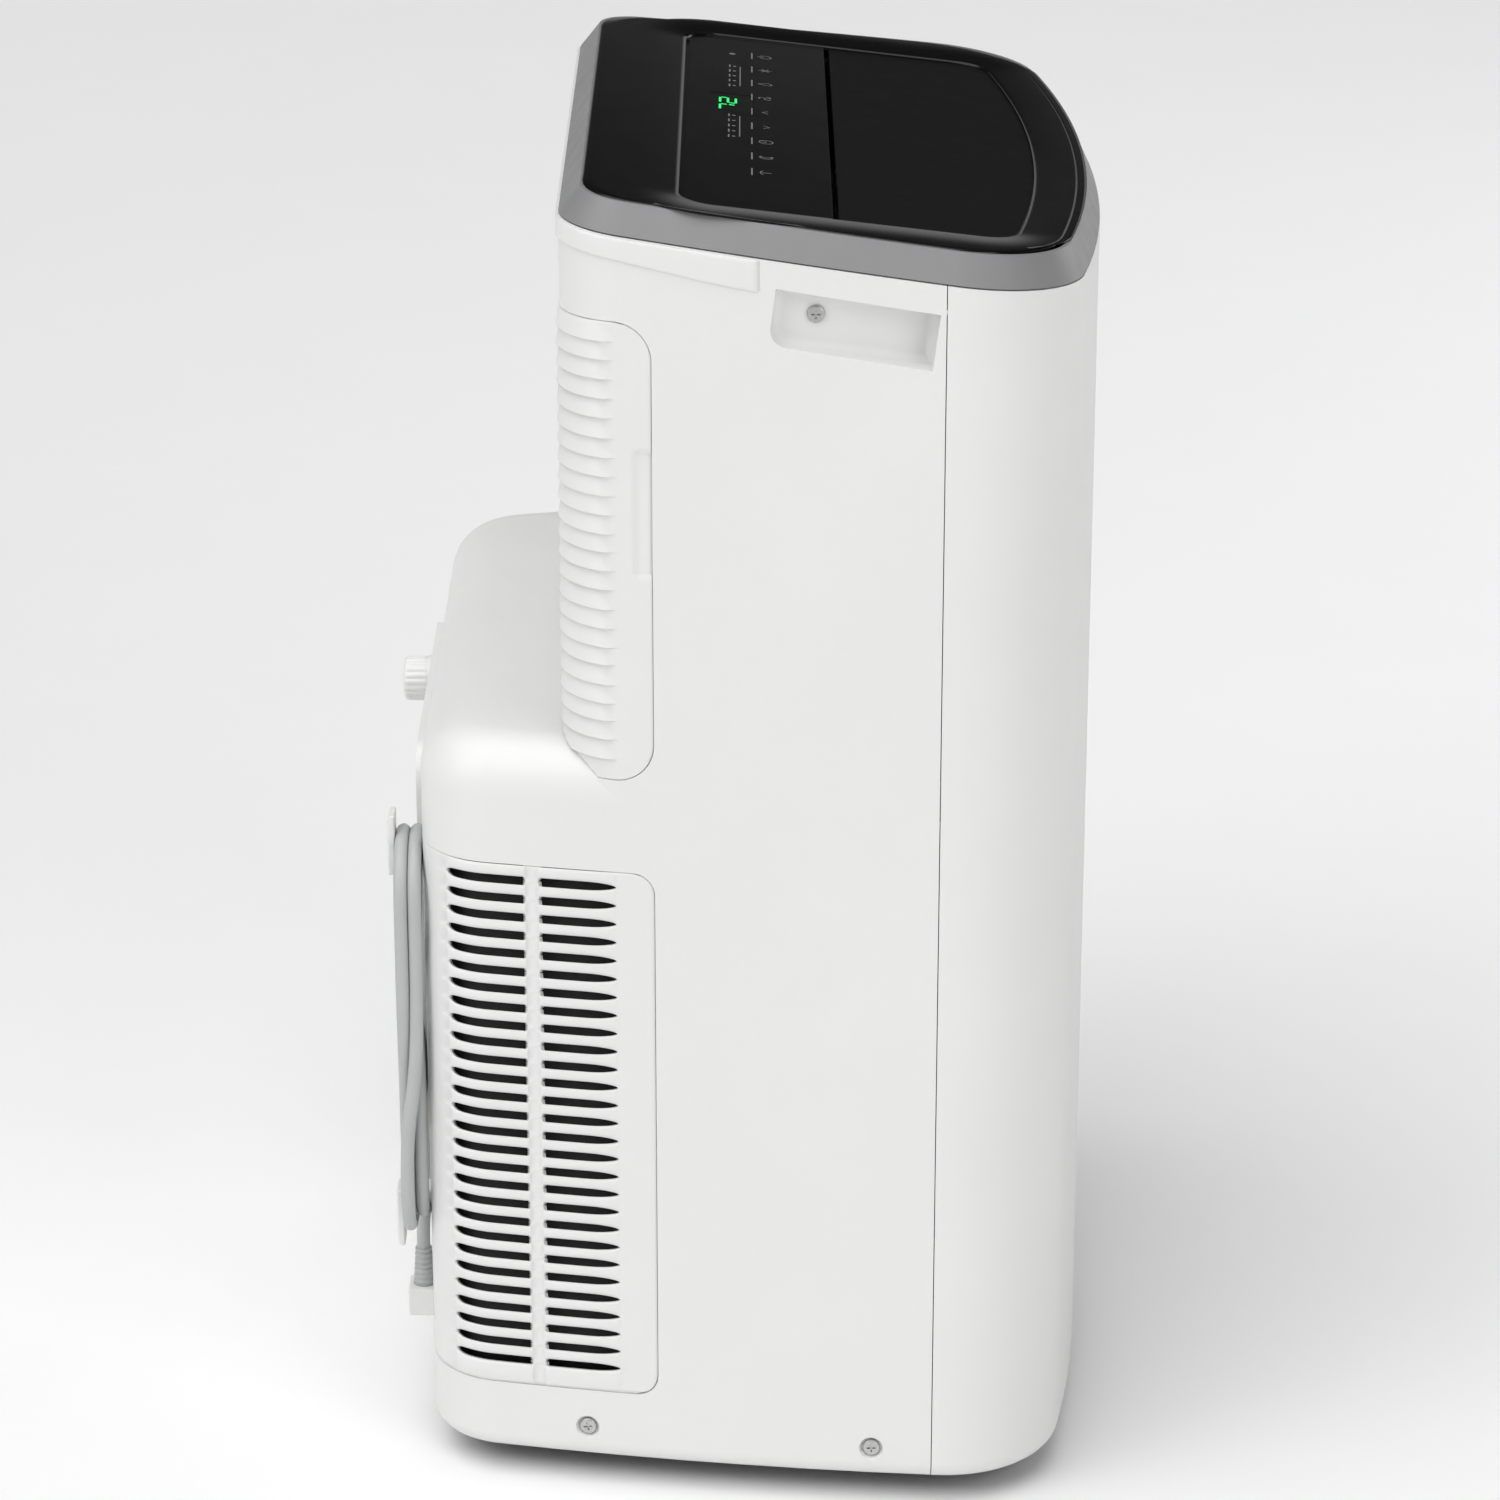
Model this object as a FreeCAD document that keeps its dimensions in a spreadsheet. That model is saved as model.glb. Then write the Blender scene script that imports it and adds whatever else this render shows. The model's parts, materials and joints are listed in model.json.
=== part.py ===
import FreeCAD, Part
import math
import os
import Sketcher
from FreeCAD import Placement, Rotation, Vector

# Free-standing room air conditioner on four casters.  +Z is up and the front looks along -Y.
# The origin is on the floor under the middle of the body.  All sizes are in millimetres.

doc = FreeCAD.newDocument("RoomAirConditioner")
sheet = doc.addObject("Spreadsheet::Sheet", "Sizes")

drivingSizes = [
    # plan outline of the casing: bowed sides that draw in towards the back, bowed front
    ("sideBow", 1720), ("sideCrestX", 245.6), ("sideCrestY", -243.8),
    ("frontBow", 1012), ("frontY", -193.5), ("frontCorner", 64),
    ("upperBackY", 90.5), ("upperBackCorner", 38),
    ("humpBackY", 168), ("humpBackCorner", 45), ("humpTop", 428), ("humpRound", 27),
    ("wall", 2.8), ("seamY", -104.5), ("seamGap", 0.5),
    ("undersideZ", 15), ("undersideRound", 10), ("undersideFlange", 9),
    # sloping top: the grey ring's lower edge at the seam, and its rise per millimetre of depth
    ("ringSeamZ", 685.6), ("topRise", 0.118), ("ringHeight", 15), ("ringInset", 9.5),
    ("ringLand", 2), ("deckProud", 0.6), ("deckSkin", 3.4), ("shadowGap", 0.8),
    # recess in the black deck that holds the control panel and the flap
    ("recessHalf", 191.5), ("recessBackY", 29.5), ("recessFrontY", -158), ("recessBow", 1004),
    ("recessBackRound", 18), ("recessFrontRound", 15), ("recessDepth", 2.3), ("recessLip", 2.6),
    ("windowX", 31), ("windowY", 5), ("windowLong", 46), ("windowWide", 24),
    ("hingeY", -48.5), ("slot", 3), ("flapGap", 1.2), ("flapSkin", 2.5), ("hingeDrop", 6.3),
    ("hingeInset", 4), ("hingePin", 2), ("runningGap", 0.06),
    ("ductHalf", 184), ("ductWall", 2.5), ("ductDeep", 64),
    ("vaneCount", 5), ("vanePitch", 70), ("vaneLong", 44), ("vaneTall", 42), ("vaneThick", 2),
    ("vanePin", 2), ("crankThrow", 10), ("crankPin", 1.5), ("linkSlack", 1.25),
    # screws through the sides and in the hand grips
    ("rearScrewY", 82), ("rearScrewZ", 34.6), ("frontScrewY", -72), ("frontScrewZ", 33.5),
    ("gripScrewY", -39.5), ("gripScrewZ", 666), ("bossR", 8), ("sinkR", 6.8), ("sinkDeep", 3),
    ("headR", 4.6), ("headTall", 2.4), ("shankR", 2),
    # grilles
    ("grilleFrontY", 43.5), ("upperGrilleLow", 414), ("upperGrilleTop", 660),
    ("upperGrilleRound", 20), ("louvrePitch", 10.2), ("upperLouvres", 23),
    ("upperLouvreLow", 425.5), ("louvreSlot", 3), ("upperSlotY", 60),
    ("backBays", 6), ("bayPitch", 55),
    ("lowerGrilleLow", 57.5), ("lowerGrilleTop", 362), ("lowerGrilleRound", 12),
    ("lowerSlots", 28), ("lowerPitch", 10.44), ("lowerSlotLow", 71.6), ("lowerSlot", 4.6),
    ("lowerSlotY", 63.5), ("lowerRibY", 108), ("lowerRib", 6.5), ("lowerSlotBackY", 154),
    ("lowerGrilleBackX", 162), ("panelGap", 0.4),
    ("notchLow", 525.5), ("notchTop", 593.5), ("notchWide", 9), ("notchDeep", 1.6),
    # hand grips in the sides
    ("gripFrontY", -100), ("gripBackY", -17), ("gripTop", 675.5), ("gripLow", 646), ("gripDeep", 17),
    ("gripTilt", 7.6), ("gripCorner", 9),
    ("gripRound", 5),
    # exhaust outlet in the hump's back
    ("outletR", 75), ("outletZ", 298), ("outletWall", 3), ("outletDeep", 26),
    ("plateHalf", 114), ("plateLow", 216), ("plateTop", 390), ("plateProud", 6),
    ("plateRound", 20),
    # drain knob
    ("drainX", 95), ("drainZ", 356.6), ("drainR", 13.5), ("drainLong", 17.5), ("drainFlutes", 20),
    ("spoutR", 8), ("spoutBore", 5.5), ("gasketThick", 2),
    ("lowerPlugX", 60), ("lowerPlugZ", 40), ("lowerPlugR", 9),
    # casters
    ("wheelR", 17), ("wheelWide", 13), ("casterOffset", 9), ("axleR", 2.5), ("stemR", 5),
    ("wellR", 31), ("wellTop", 45), ("rearCasterX", 172), ("rearCasterY", 90),
    ("frontCasterX", 187), ("frontCasterY", -131), ("panFloor", 18), ("panSkin", 3),
    # cord storage
    ("hookX", -150), ("upperStemZ", 340), ("lowerStemZ", 146), ("stemThick", 8),
    ("hookWide", 16), ("hookReach", 15), ("lipThick", 4), ("lipLong", 34), ("cordR", 3.7),
    ("hankStrand", 15), ("hankHalf", 33.2), ("glandX", -122), ("glandZ", 60),
    ("glandTall", 16), ("reliefLong", 22), ("plugZ", 205), ("gripLong", 46), ("gripWide", 26),
    ("gripThick", 13), ("pinLong", 17), ("pinSpread", 6.35),
    # machinery
    ("compressorX", -104), ("compressorY", -98), ("compressorR", 52), ("compressorZ", 34),
    ("upperAxisZ", 520), ("upperWheelR", 82), ("upperWheelWide", 80), ("upperWheelY", -140),
    ("lowerAxisY", 30), ("lowerAxisZ", 235), ("lowerWheelR", 80), ("lowerWheelWide", 90),
    ("shaftR", 5), ("blades", 22), ("trayZ", 398), ("traySkin", 4),
    ("scrollR", 100), ("scrollInlet", 56), ("motorR", 40), ("lowerMotorLong", 55),
    ("upperMotorLong", 50), ("compressorTall", 200), ("finPitch", 8), ("condenserX", 187),
    ("condenserY", 42), ("condenserZ", 62), ("condenserLong", 96), ("condenserTall", 290),
    ("condenserDeep", 22), ("evaporatorLong", 310), ("evaporatorTall", 200),
    ("evaporatorDeep", 24), ("evaporatorY", 48), ("evaporatorZ", 440), ("filterLong", 330),
    ("filterTall", 198), ("filterThick", 3),
]
for row, (alias, number) in enumerate(drivingSizes, start=1):
    sheet.set("A%d" % row, alias)
    sheet.set("B%d" % row, "%g" % number)
    sheet.setAlias("B%d" % row, alias)
doc.recompute()


def size(alias):
    """Value of one cell of the sheet."""
    return float(sheet.get(alias))


# Document helpers

nodes = []


def bind(obj, formulas):
    """Bind properties of an object to formulas over the sheet."""
    for name, formula in formulas.items():
        obj.setExpression(name, formula)
    return obj


def at(obj, x, y, z):
    """Bind an object's position to three formulas."""
    return bind(obj, {"Placement.Base.x": x, "Placement.Base.y": y, "Placement.Base.z": z})


def box(name, length, width, height, x, y, z):
    """Part::Box with its sizes and its low corner bound to the sheet."""
    obj = doc.addObject("Part::Box", name)
    bind(obj, {"Length": length, "Width": width, "Height": height})
    return at(obj, x, y, z)


def rod(name, radius, height, x, y, z, direction=Vector(0, 0, 1)):
    """Part::Cylinder along a direction, starting at a bound point."""
    obj = doc.addObject("Part::Cylinder", name)
    obj.Placement = Placement(Vector(), Rotation(Vector(0, 0, 1), direction))
    bind(obj, {"Radius": radius, "Height": height})
    return at(obj, x, y, z)


def fuse(name, parts):
    obj = doc.addObject("Part::MultiFuse", name)
    obj.Shapes = parts
    return obj


def cut(name, base, tools):
    """Part::Cut of one base by one tool or by the union of several."""
    obj = doc.addObject("Part::Cut", name)
    obj.Base = base
    obj.Tool = tools[0] if len(tools) == 1 else fuse(name + "_tools", tools)
    return obj


def node(obj, label):
    """Name an object as one sub-part of the product."""
    obj.Label = label
    nodes.append(obj)
    return obj


def feature(label, shape, placement=None):
    """Sub-part whose shape is worked out below from the sheet's values."""
    obj = doc.addObject("Part::Feature", label)
    obj.Shape = shape
    if placement is not None:
        obj.Placement = placement
    return node(obj, label)


# Casing outline

slope = math.atan(size("topRise"))
topFrame = Placement(Vector(0, size("seamY"), size("ringSeamZ")),
                     Rotation(Vector(1, 0, 0), math.degrees(slope)))


def sideX(y):
    """Half-width of the casing at a depth: the bowed side."""
    run = y - size("sideCrestY")
    return size("sideCrestX") - size("sideBow") + math.sqrt(size("sideBow") ** 2 - run * run)


def bowY(x, crest, radius):
    """Depth of a bowed front edge at a distance from the middle."""
    return crest + radius - math.sqrt(radius * radius - x * x)


def topV(y):
    """Distance along the sloping top for a depth in the casing's frame."""
    return (y - size("seamY")) / math.cos(slope)


def planWire(inset, backY, level, onTop=False):
    """Four-sided outline with sharp corners, drawn in by inset, at one level."""
    back = backY - inset
    front = size("frontY") + inset
    cornerX = size("sideCrestX")
    for _ in range(6):
        cornerX = sideX(bowY(cornerX, front, size("frontBow"))) - inset
    cornerY = bowY(cornerX, front, size("frontBow"))
    middleY = (back + cornerY) / 2

    def spot(x, y):
        return Vector(x, topV(y) if onTop else y, level)

    backX = sideX(back) - inset
    middleX = sideX(middleY) - inset
    left = Part.Arc(spot(-backX, back), spot(-middleX, middleY), spot(-cornerX, cornerY))
    near = Part.Arc(spot(-cornerX, cornerY), spot(0, front), spot(cornerX, cornerY))
    right = Part.Arc(spot(cornerX, cornerY), spot(middleX, middleY), spot(backX, back))
    rear = Part.LineSegment(spot(backX, back), spot(-backX, back))
    return Part.Wire([curve.toShape() for curve in (left, near, right, rear)])


def roundUprights(solid, radiusAt):
    """Fillet the upright edges of a prism, with a radius chosen by the edge's depth."""
    uprights = []
    for edge in solid.Edges:
        ends = edge.Vertexes
        if len(ends) == 2 and math.hypot(ends[0].X - ends[1].X, ends[0].Y - ends[1].Y) < 1e-6:
            uprights.append(edge)
    for edge in uprights:
        radius = radiusAt(edge.Vertexes[0].Y)
        near = [e for e in solid.Edges if len(e.Vertexes) == 2
                and e.CenterOfMass.distanceToPoint(edge.CenterOfMass) < 1e-3]
        solid = solid.makeFillet(radius, near)
    return solid


def prism(inset, low, high, backY, backCorner, onTop=False):
    """Upright solid on the casing's outline with its four corners rounded."""
    solid = Part.Face(planWire(inset, backY, low, onTop)).extrude(Vector(0, 0, high - low))
    middle = topV(0) if onTop else 0
    frontR = size("frontCorner") - inset
    return roundUprights(solid, lambda y: backCorner - inset if y > middle else frontR)


def upperPrism(inset, low, high, onTop=False):
    return prism(inset, low, high, size("upperBackY"), size("upperBackCorner"), onTop)


def humpPrism(inset, low, high):
    return prism(inset, low, high, size("humpBackY"), size("humpBackCorner"))


def levelEdges(solid, level):
    """Edges that lie wholly at one level."""
    return [e for e in solid.Edges
            if all(abs(v.Z - level) < 1e-4 for v in e.Vertexes)
            and abs(e.CenterOfMass.z - level) < 1e-4]


def overTop(drop):
    """Large block whose lower face is the sloping top's plane, lowered by drop."""
    block = Part.makeBox(700, 700, 300, Vector(-350, -350, -drop))
    block.Placement = topFrame
    return block


def sideWindow(low, high, front, back, radius):
    """Block through the casing from side to side, with a rounded outline seen from the side."""
    block = Part.makeBox(600, back - front, high - low, Vector(-300, front, low))
    along = [e for e in block.Edges if abs(e.CenterOfMass.x) < 1e-6]
    return block.makeFillet(radius, along)


skin = size("wall")
floorZ = size("undersideZ")
shellTop = 760
outerHump = humpPrism(0, floorZ, size("humpTop"))
outerHump = outerHump.makeFillet(size("humpRound"), levelEdges(outerHump, size("humpTop")))
outerHump = outerHump.makeFillet(size("undersideRound"), levelEdges(outerHump, floorZ))
outerUpper = upperPrism(0, size("humpTop") / 2, shellTop)
innerHump = humpPrism(skin, floorZ + skin, size("humpTop") - skin)
innerHump = innerHump.makeFillet(size("humpRound") - skin,
                                 levelEdges(innerHump, size("humpTop") - skin))
innerHump = innerHump.makeFillet(size("undersideRound") - skin,
                                 levelEdges(innerHump, floorZ + skin))
innerUpper = upperPrism(skin, size("humpTop") / 2, shellTop + 1)
bottomHole = humpPrism(skin + size("undersideFlange"), floorZ - 1, floorZ + skin + 1)

hollow = innerHump.fuse([innerUpper, bottomHole])
casing = outerHump.fuse(outerUpper).removeSplitter().cut(hollow)
casing = casing.cut(overTop(size("shadowGap")))


def depthSlab(low, high):
    """Block that keeps one range of depth of the casing."""
    return Part.makeBox(700, high - low, 900, Vector(-350, low, -50))


# Screws through the sides

screwSpots = [(size("rearScrewY"), size("rearScrewZ")), (size("frontScrewY"), size("frontScrewZ"))]


def sideFrame(y, z, side):
    """Frame on the casing's side, its Z axis pointing straight out."""
    step = 0.5
    lean = (sideX(y + step) - sideX(y - step)) / (2 * step)
    outward = Vector(side, -lean, 0)
    outward.normalize()
    return Placement(Vector(side * sideX(y), y, z), Rotation(Vector(0, 0, 1), outward))


def placed(shape, frame):
    copy = shape.copy()
    copy.Placement = frame
    return copy


def screwBoss():
    """Boss behind the wall that gives the screw its depth."""
    return Part.makeCylinder(size("bossR"), 6.5, Vector(0, 0, -7.5))


def screwSeat():
    """Cone-shaped sink and clearance hole for a pan-head screw."""
    deep = size("sinkDeep")
    sink = Part.makeCone(size("sinkR") - 1.6, size("sinkR"), deep + 0.4, Vector(0, 0, -deep))
    hole = Part.makeCylinder(size("shankR") + 0.2, 14, Vector(0, 0, -12))
    return sink.fuse(hole)


def screwShape():
    """Pan-head screw with a cross recess in its head."""
    low = -size("sinkDeep")
    top = low + size("headTall")
    across = size("headR")
    head = Part.makeCylinder(across, size("headTall"), Vector(0, 0, low))
    head = head.makeFillet(0.9, levelEdges(head, top))
    shank = Part.makeCylinder(size("shankR"), 5.5, Vector(0, 0, low - 5.5))
    slotA = Part.makeBox(across, 1, 1.4, Vector(-across / 2, -0.5, top - 1))
    slotB = Part.makeBox(1, across, 1.4, Vector(-0.5, -across / 2, top - 1))
    return head.fuse(shank).cut(slotA.fuse(slotB))


sideScrewFrames = [sideFrame(y, z, side) for y, z in screwSpots for side in (-1, 1)]
for frame in sideScrewFrames:
    casing = casing.fuse(placed(screwBoss(), frame)).cut(placed(screwSeat(), frame))

# Rear shell and front shell

gap = size("panelGap")
upperWindow = sideWindow(size("upperGrilleLow") - gap, size("upperGrilleTop") + gap,
                         size("grilleFrontY") - gap, 130, size("upperGrilleRound"))
lowerWindow = sideWindow(size("lowerGrilleLow") - gap, size("lowerGrilleTop") + gap,
                         size("grilleFrontY") - gap, 230, size("lowerGrilleRound"))
beside = Part.makeBox(120, 400, 900, Vector(size("lowerGrilleBackX") - gap, -100, 0))
besideBack = beside.fuse(beside.mirror(Vector(), Vector(1, 0, 0)))


def gripPocket(side, grow):
    """Hand grip: a pocket in the side, open outwards, grown by the wall for its shell."""
    low = size("gripLow") - grow
    depth = size("gripBackY") - size("gripFrontY")
    tall = size("gripTop") - size("gripLow") + 2 * grow
    far = sideX(size("gripFrontY"))
    pocket = Part.makeBox(size("gripDeep") + grow + 12, depth + 2 * grow, tall,
                          Vector(far - size("gripDeep") - grow, size("gripFrontY") - grow, low))
    lowBack = [e for e in pocket.Edges if abs(e.CenterOfMass.z - low) < 1e-6
               and abs(e.CenterOfMass.y - size("gripBackY") - grow) < 1e-6]
    pocket = pocket.makeFillet(size("gripCorner") + grow, lowBack)
    innerX = far - size("gripDeep") - grow
    innerEdges = [e for e in pocket.Edges if abs(e.CenterOfMass.x - innerX) < 1e-6]
    pocket = pocket.makeFillet(size("gripRound") + grow / 2, innerEdges)
    middle = Vector(0, (size("gripBackY") + size("gripFrontY")) / 2, (size("gripTop") + size("gripLow")) / 2)
    pocket.rotate(middle, Vector(1, 0, 0), size("gripTilt"))
    if side < 0:
        pocket = pocket.mirror(Vector(), Vector(1, 0, 0))
    return pocket


rear = casing.common(depthSlab(size("seamY") + size("seamGap") / 2, 400))
rear = rear.cut(upperWindow.common(outerUpper).cut(outerHump))
rear = rear.cut(lowerWindow.common(besideBack))
for side in (-1, 1):
    cup = gripPocket(side, skin).common(outerUpper)
    rear = rear.fuse(cup).cut(gripPocket(side, 0))
outletTool = Part.makeCylinder(size("outletR") + size("outletWall") + gap, 80,
                               Vector(0, 120, size("outletZ")), Vector(0, 1, 0))
spoutTool = Part.makeCylinder(size("spoutR") + gap, 60,
                              Vector(size("drainX"), 140, size("drainZ")), Vector(0, 1, 0))
plugTool = Part.makeCylinder(size("lowerPlugR") + gap, 60,
                             Vector(size("lowerPlugX"), 140, size("lowerPlugZ")), Vector(0, 1, 0))
rear = rear.cut(outletTool.fuse([spoutTool, plugTool])).cut(overTop(size("shadowGap")))
feature("rear_shell", rear)

front = casing.common(depthSlab(-400, size("seamY") - size("seamGap") / 2))
feature("front_shell", front)

# Grilles let into the rear shell

lowerRibs = [(size("lowerSlotY"), size("lowerRibY") - size("lowerRib") / 2),
             (size("lowerRibY") + size("lowerRib") / 2, size("lowerSlotBackY"))]
skinBand = outerHump.cut(innerHump)
lowerPanel = sideWindow(size("lowerGrilleLow"), size("lowerGrilleTop"), size("grilleFrontY"), 230,
                        size("lowerGrilleRound")).common(skinBand)
for side, label in ((-1, "side_grille_left"), (1, "side_grille_right")):
    keep = Part.makeBox(120, 400, 900, Vector(size("lowerGrilleBackX"), -100, 0))
    slots = []
    for step in range(int(size("lowerSlots"))):
        middle = size("lowerSlotLow") + step * size("lowerPitch")
        for start, end in lowerRibs:
            slots.append(Part.makeBox(90, end - start, size("lowerSlot"),
                                      Vector(170, start, middle - size("lowerSlot") / 2)))
    panel = lowerPanel.common(keep).cut(Part.makeCompound(slots))
    if side < 0:
        panel = panel.mirror(Vector(), Vector(1, 0, 0))
    feature(label, panel)

upperPanel = sideWindow(size("upperGrilleLow"), size("upperGrilleTop"), size("grilleFrontY"), 130,
                        size("upperGrilleRound"))
clearHump = humpPrism(-0.6, floorZ, size("humpTop") + 0.6)
clearHump = clearHump.makeFillet(size("humpRound") + 0.6,
                                 levelEdges(clearHump, size("humpTop") + 0.6))
panel = upperPanel.common(outerUpper.cut(innerUpper)).cut(clearHump)
slots = []
for step in range(int(size("upperLouvres"))):
    low = size("upperLouvreLow") + step * size("louvrePitch")
    tall = size("louvreSlot")
    slots.append(Part.makeBox(60, 14, tall, Vector(190, size("upperSlotY"), low)))
    slots.append(Part.makeBox(60, 14, tall, Vector(-250, size("upperSlotY"), low)))
    if low > size("humpTop") + 8:
        for bay in range(int(size("backBays"))):
            left = (bay - size("backBays") / 2) * size("bayPitch")
            slots.append(Part.makeBox(size("bayPitch") - 8, 20, tall, Vector(left + 4, 80, low)))
panel = panel.cut(Part.makeCompound(slots))
for side in (-1, 1):
    notchX = sideX(size("grilleFrontY")) - size("notchDeep")
    notch = Part.makeBox(20, size("notchWide"), size("notchTop") - size("notchLow"),
                         Vector(notchX if side > 0 else -notchX - 20,
                                size("grilleFrontY") - 0.1, size("notchLow")))
    panel = panel.cut(notch)
feature("filter_cover", panel)

filterMesh = box("filterSlab", "Sizes.filterLong", "Sizes.filterThick", "Sizes.filterTall",
                 "-Sizes.filterLong / 2", "80.5", "Sizes.evaporatorZ + 2")
node(filterMesh, "air_filter")

# Grey ring and black deck

height = size("ringHeight")


def roundRing(inset, level):
    """The rounded outline as a wire, for a loft."""
    thin = upperPrism(inset, level, level + 1, True)
    for face in thin.Faces:
        if abs(face.CenterOfMass.z - level) < 1e-6:
            return face.OuterWire
    return None


ringOuter = Part.makeLoft([roundRing(0.2, 0), roundRing(size("ringInset"), height)], True, True)
ringLand = size("ringInset") + size("ringLand")
ring = ringOuter.cut(upperPrism(ringLand, -1, height + 2, True))
feature("top_ring", ring, topFrame)

deckEdge = ringLand + 0.3
deckTop = height + size("deckProud")
deck = upperPrism(deckEdge, 1, deckTop, True)
deck = deck.makeFillet(1.6, levelEdges(deck, deckTop))
deck = deck.cut(upperPrism(deckEdge + 3, 0, deckTop - size("deckSkin"), True))


def recessPrism(inset, low, high):
    """Upright solid on the outline of the recess: straight back, bowed front, round corners."""
    half = size("recessHalf") - inset
    back = size("recessBackY") - inset
    front = size("recessFrontY") + inset
    cornerY = bowY(half, front, size("recessBow"))
    corners = [Vector(-half, topV(back), low), Vector(-half, topV(cornerY), low),
               Vector(half, topV(cornerY), low), Vector(half, topV(back), low)]
    bow = Part.Arc(corners[1], Vector(0, topV(front), low), corners[2])
    wire = Part.Wire([Part.makeLine(corners[0], corners[1]), bow.toShape(),
                      Part.makeLine(corners[2], corners[3]), Part.makeLine(corners[3], corners[0])])
    solid = Part.Face(wire).extrude(Vector(0, 0, high - low))
    middle = topV(-60)
    return roundUprights(solid, lambda v: (size("recessBackRound") if v > middle
                                           else size("recessFrontRound")) - inset)


deck = deck.cut(recessPrism(0, 0, deckTop + 1))
lip = [e for e in levelEdges(deck, deckTop) if e.BoundBox.XMax < 192.5 and e.BoundBox.XMin > -192.5
       and e.BoundBox.YMin > topV(size("recessFrontY")) - 1 and e.BoundBox.YMax < topV(30)]
deck = deck.makeFillet(size("recessLip"), lip)
feature("top_deck", deck, topFrame)

plateTop = deckTop - size("recessDepth")
hingeV = topV(size("hingeY"))
behindSlot = Part.makeBox(500, 300, 60, Vector(-250, hingeV + size("slot") / 2, -20))
beforeSlot = Part.makeBox(500, 300, 60, Vector(-250, hingeV - size("slot") / 2 - 300, -20))
panel = recessPrism(0.3, plateTop - 2.6, plateTop).common(behindSlot)
flangeTop = deckTop - size("deckSkin")
edging = recessPrism(-5, flangeTop - 3, flangeTop).common(behindSlot)
undercut = Part.makeBox(500, 3, 10, Vector(-250, hingeV + size("slot") / 2 - 0.1,
                                           plateTop - 1.5 - 10))
panel = panel.fuse(edging).cut(undercut).removeSplitter()
windowLong = size("windowLong")
windowWide = size("windowWide")
windowFrame = Vector(size("windowX"), topV(size("windowY")), plateTop)
windowHole = Part.makeBox(windowLong, windowWide, 6,
                          windowFrame + Vector(-windowLong / 2, -windowWide / 2, -1.2))
panel = panel.cut(windowHole)
feature("control_panel", panel, topFrame)
window = Part.makeBox(windowLong - 0.4, windowWide - 0.4, 1,
                      windowFrame + Vector(0.2 - windowLong / 2, 0.2 - windowWide / 2, -1.15))
feature("display_window", window, topFrame)

# Flap, air duct and its vanes

axisV = hingeV - size("hingeInset")
axisW = plateTop - size("hingeDrop")
flapTop = recessPrism(size("flapGap"), plateTop - size("flapSkin"), plateTop).common(beforeSlot)
flapTop = flapTop.makeFillet(0.7, levelEdges(flapTop, plateTop))
lugs = []
for side in (-1, 1):
    inner = size("ductHalf") - size("ductWall")
    lug = Part.makeBox(5, 6, plateTop - size("flapSkin") - axisW + 3 + 0.2,
                       Vector(inner - 5.5, axisV - 3, axisW - 3))
    pin = Part.makeCylinder(size("hingePin"), size("ductWall") + 0.5,
                            Vector(inner - 0.5, axisV, axisW), Vector(1, 0, 0))
    lug = lug.fuse(pin)
    lugs.append(lug if side > 0 else lug.mirror(Vector(), Vector(1, 0, 0)))
rib = Part.makeBox(330, 2, 3.2, Vector(-165, topV(-138), plateTop - size("flapSkin") - 3))
feature("flap", flapTop.fuse(lugs + [rib]), topFrame)

ductLow = -(size("ductDeep") - 10)
ductTop = plateTop - size("flapSkin") - 0.5
ductFront = topV(-134)
ductBack = hingeV + size("slot") / 2 + 1


def ductBlock(inset, low, high):
    half = size("ductHalf") - inset
    return Part.makeBox(2 * half, ductBack - ductFront - 2 * inset, high - low,
                        Vector(-half, ductFront + inset, low))


duct = ductBlock(0, ductLow, ductTop).cut(ductBlock(size("ductWall"), ductLow - 1, ductTop + 1))
vaneV = (ductFront + ductBack) / 2
barLow = ductLow
bar = Part.makeBox(2 * size("ductHalf") - 1, 9, 3.5, Vector(-size("ductHalf") + 0.5,
                                                         vaneV - 4.5, barLow))
duct = duct.fuse(bar)
vaneX = [(step - (size("vaneCount") - 1) / 2) * size("vanePitch")
         for step in range(int(size("vaneCount")))]
for x in vaneX:
    duct = duct.cut(Part.makeCylinder(size("vanePin") + size("runningGap"), 8,
                                      Vector(x, vaneV, barLow - 1)))
# the back wall stops below the sweep of the flap's rear edge, and a boss stays round each pin
flapSweep = math.hypot(size("hingeInset") - size("slot") / 2, size("hingeDrop")) + 0.5
duct = duct.cut(Part.makeBox(500, 20, 40, Vector(-250, axisV, axisW - flapSweep)))
for side in (-1, 1):
    wallX = size("ductHalf") - size("ductWall") if side > 0 else -size("ductHalf")
    duct = duct.fuse(Part.makeCylinder(size("hingeDrop") - size("flapSkin") - 0.2, size("ductWall"),
                                       Vector(wallX, axisV, axisW), Vector(1, 0, 0)))
    hole = Part.makeCylinder(size("hingePin") + size("runningGap"), 12,
                             Vector(side * size("ductHalf") - 6, axisV, axisW), Vector(1, 0, 0))
    duct = duct.cut(hole)
undercutClear = Part.makeBox(500, 8, 10, Vector(-250, hingeV + size("slot") / 2, flangeTop - 3.3))
feature("outlet_duct", duct.cut(undercutClear), topFrame)

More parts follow.
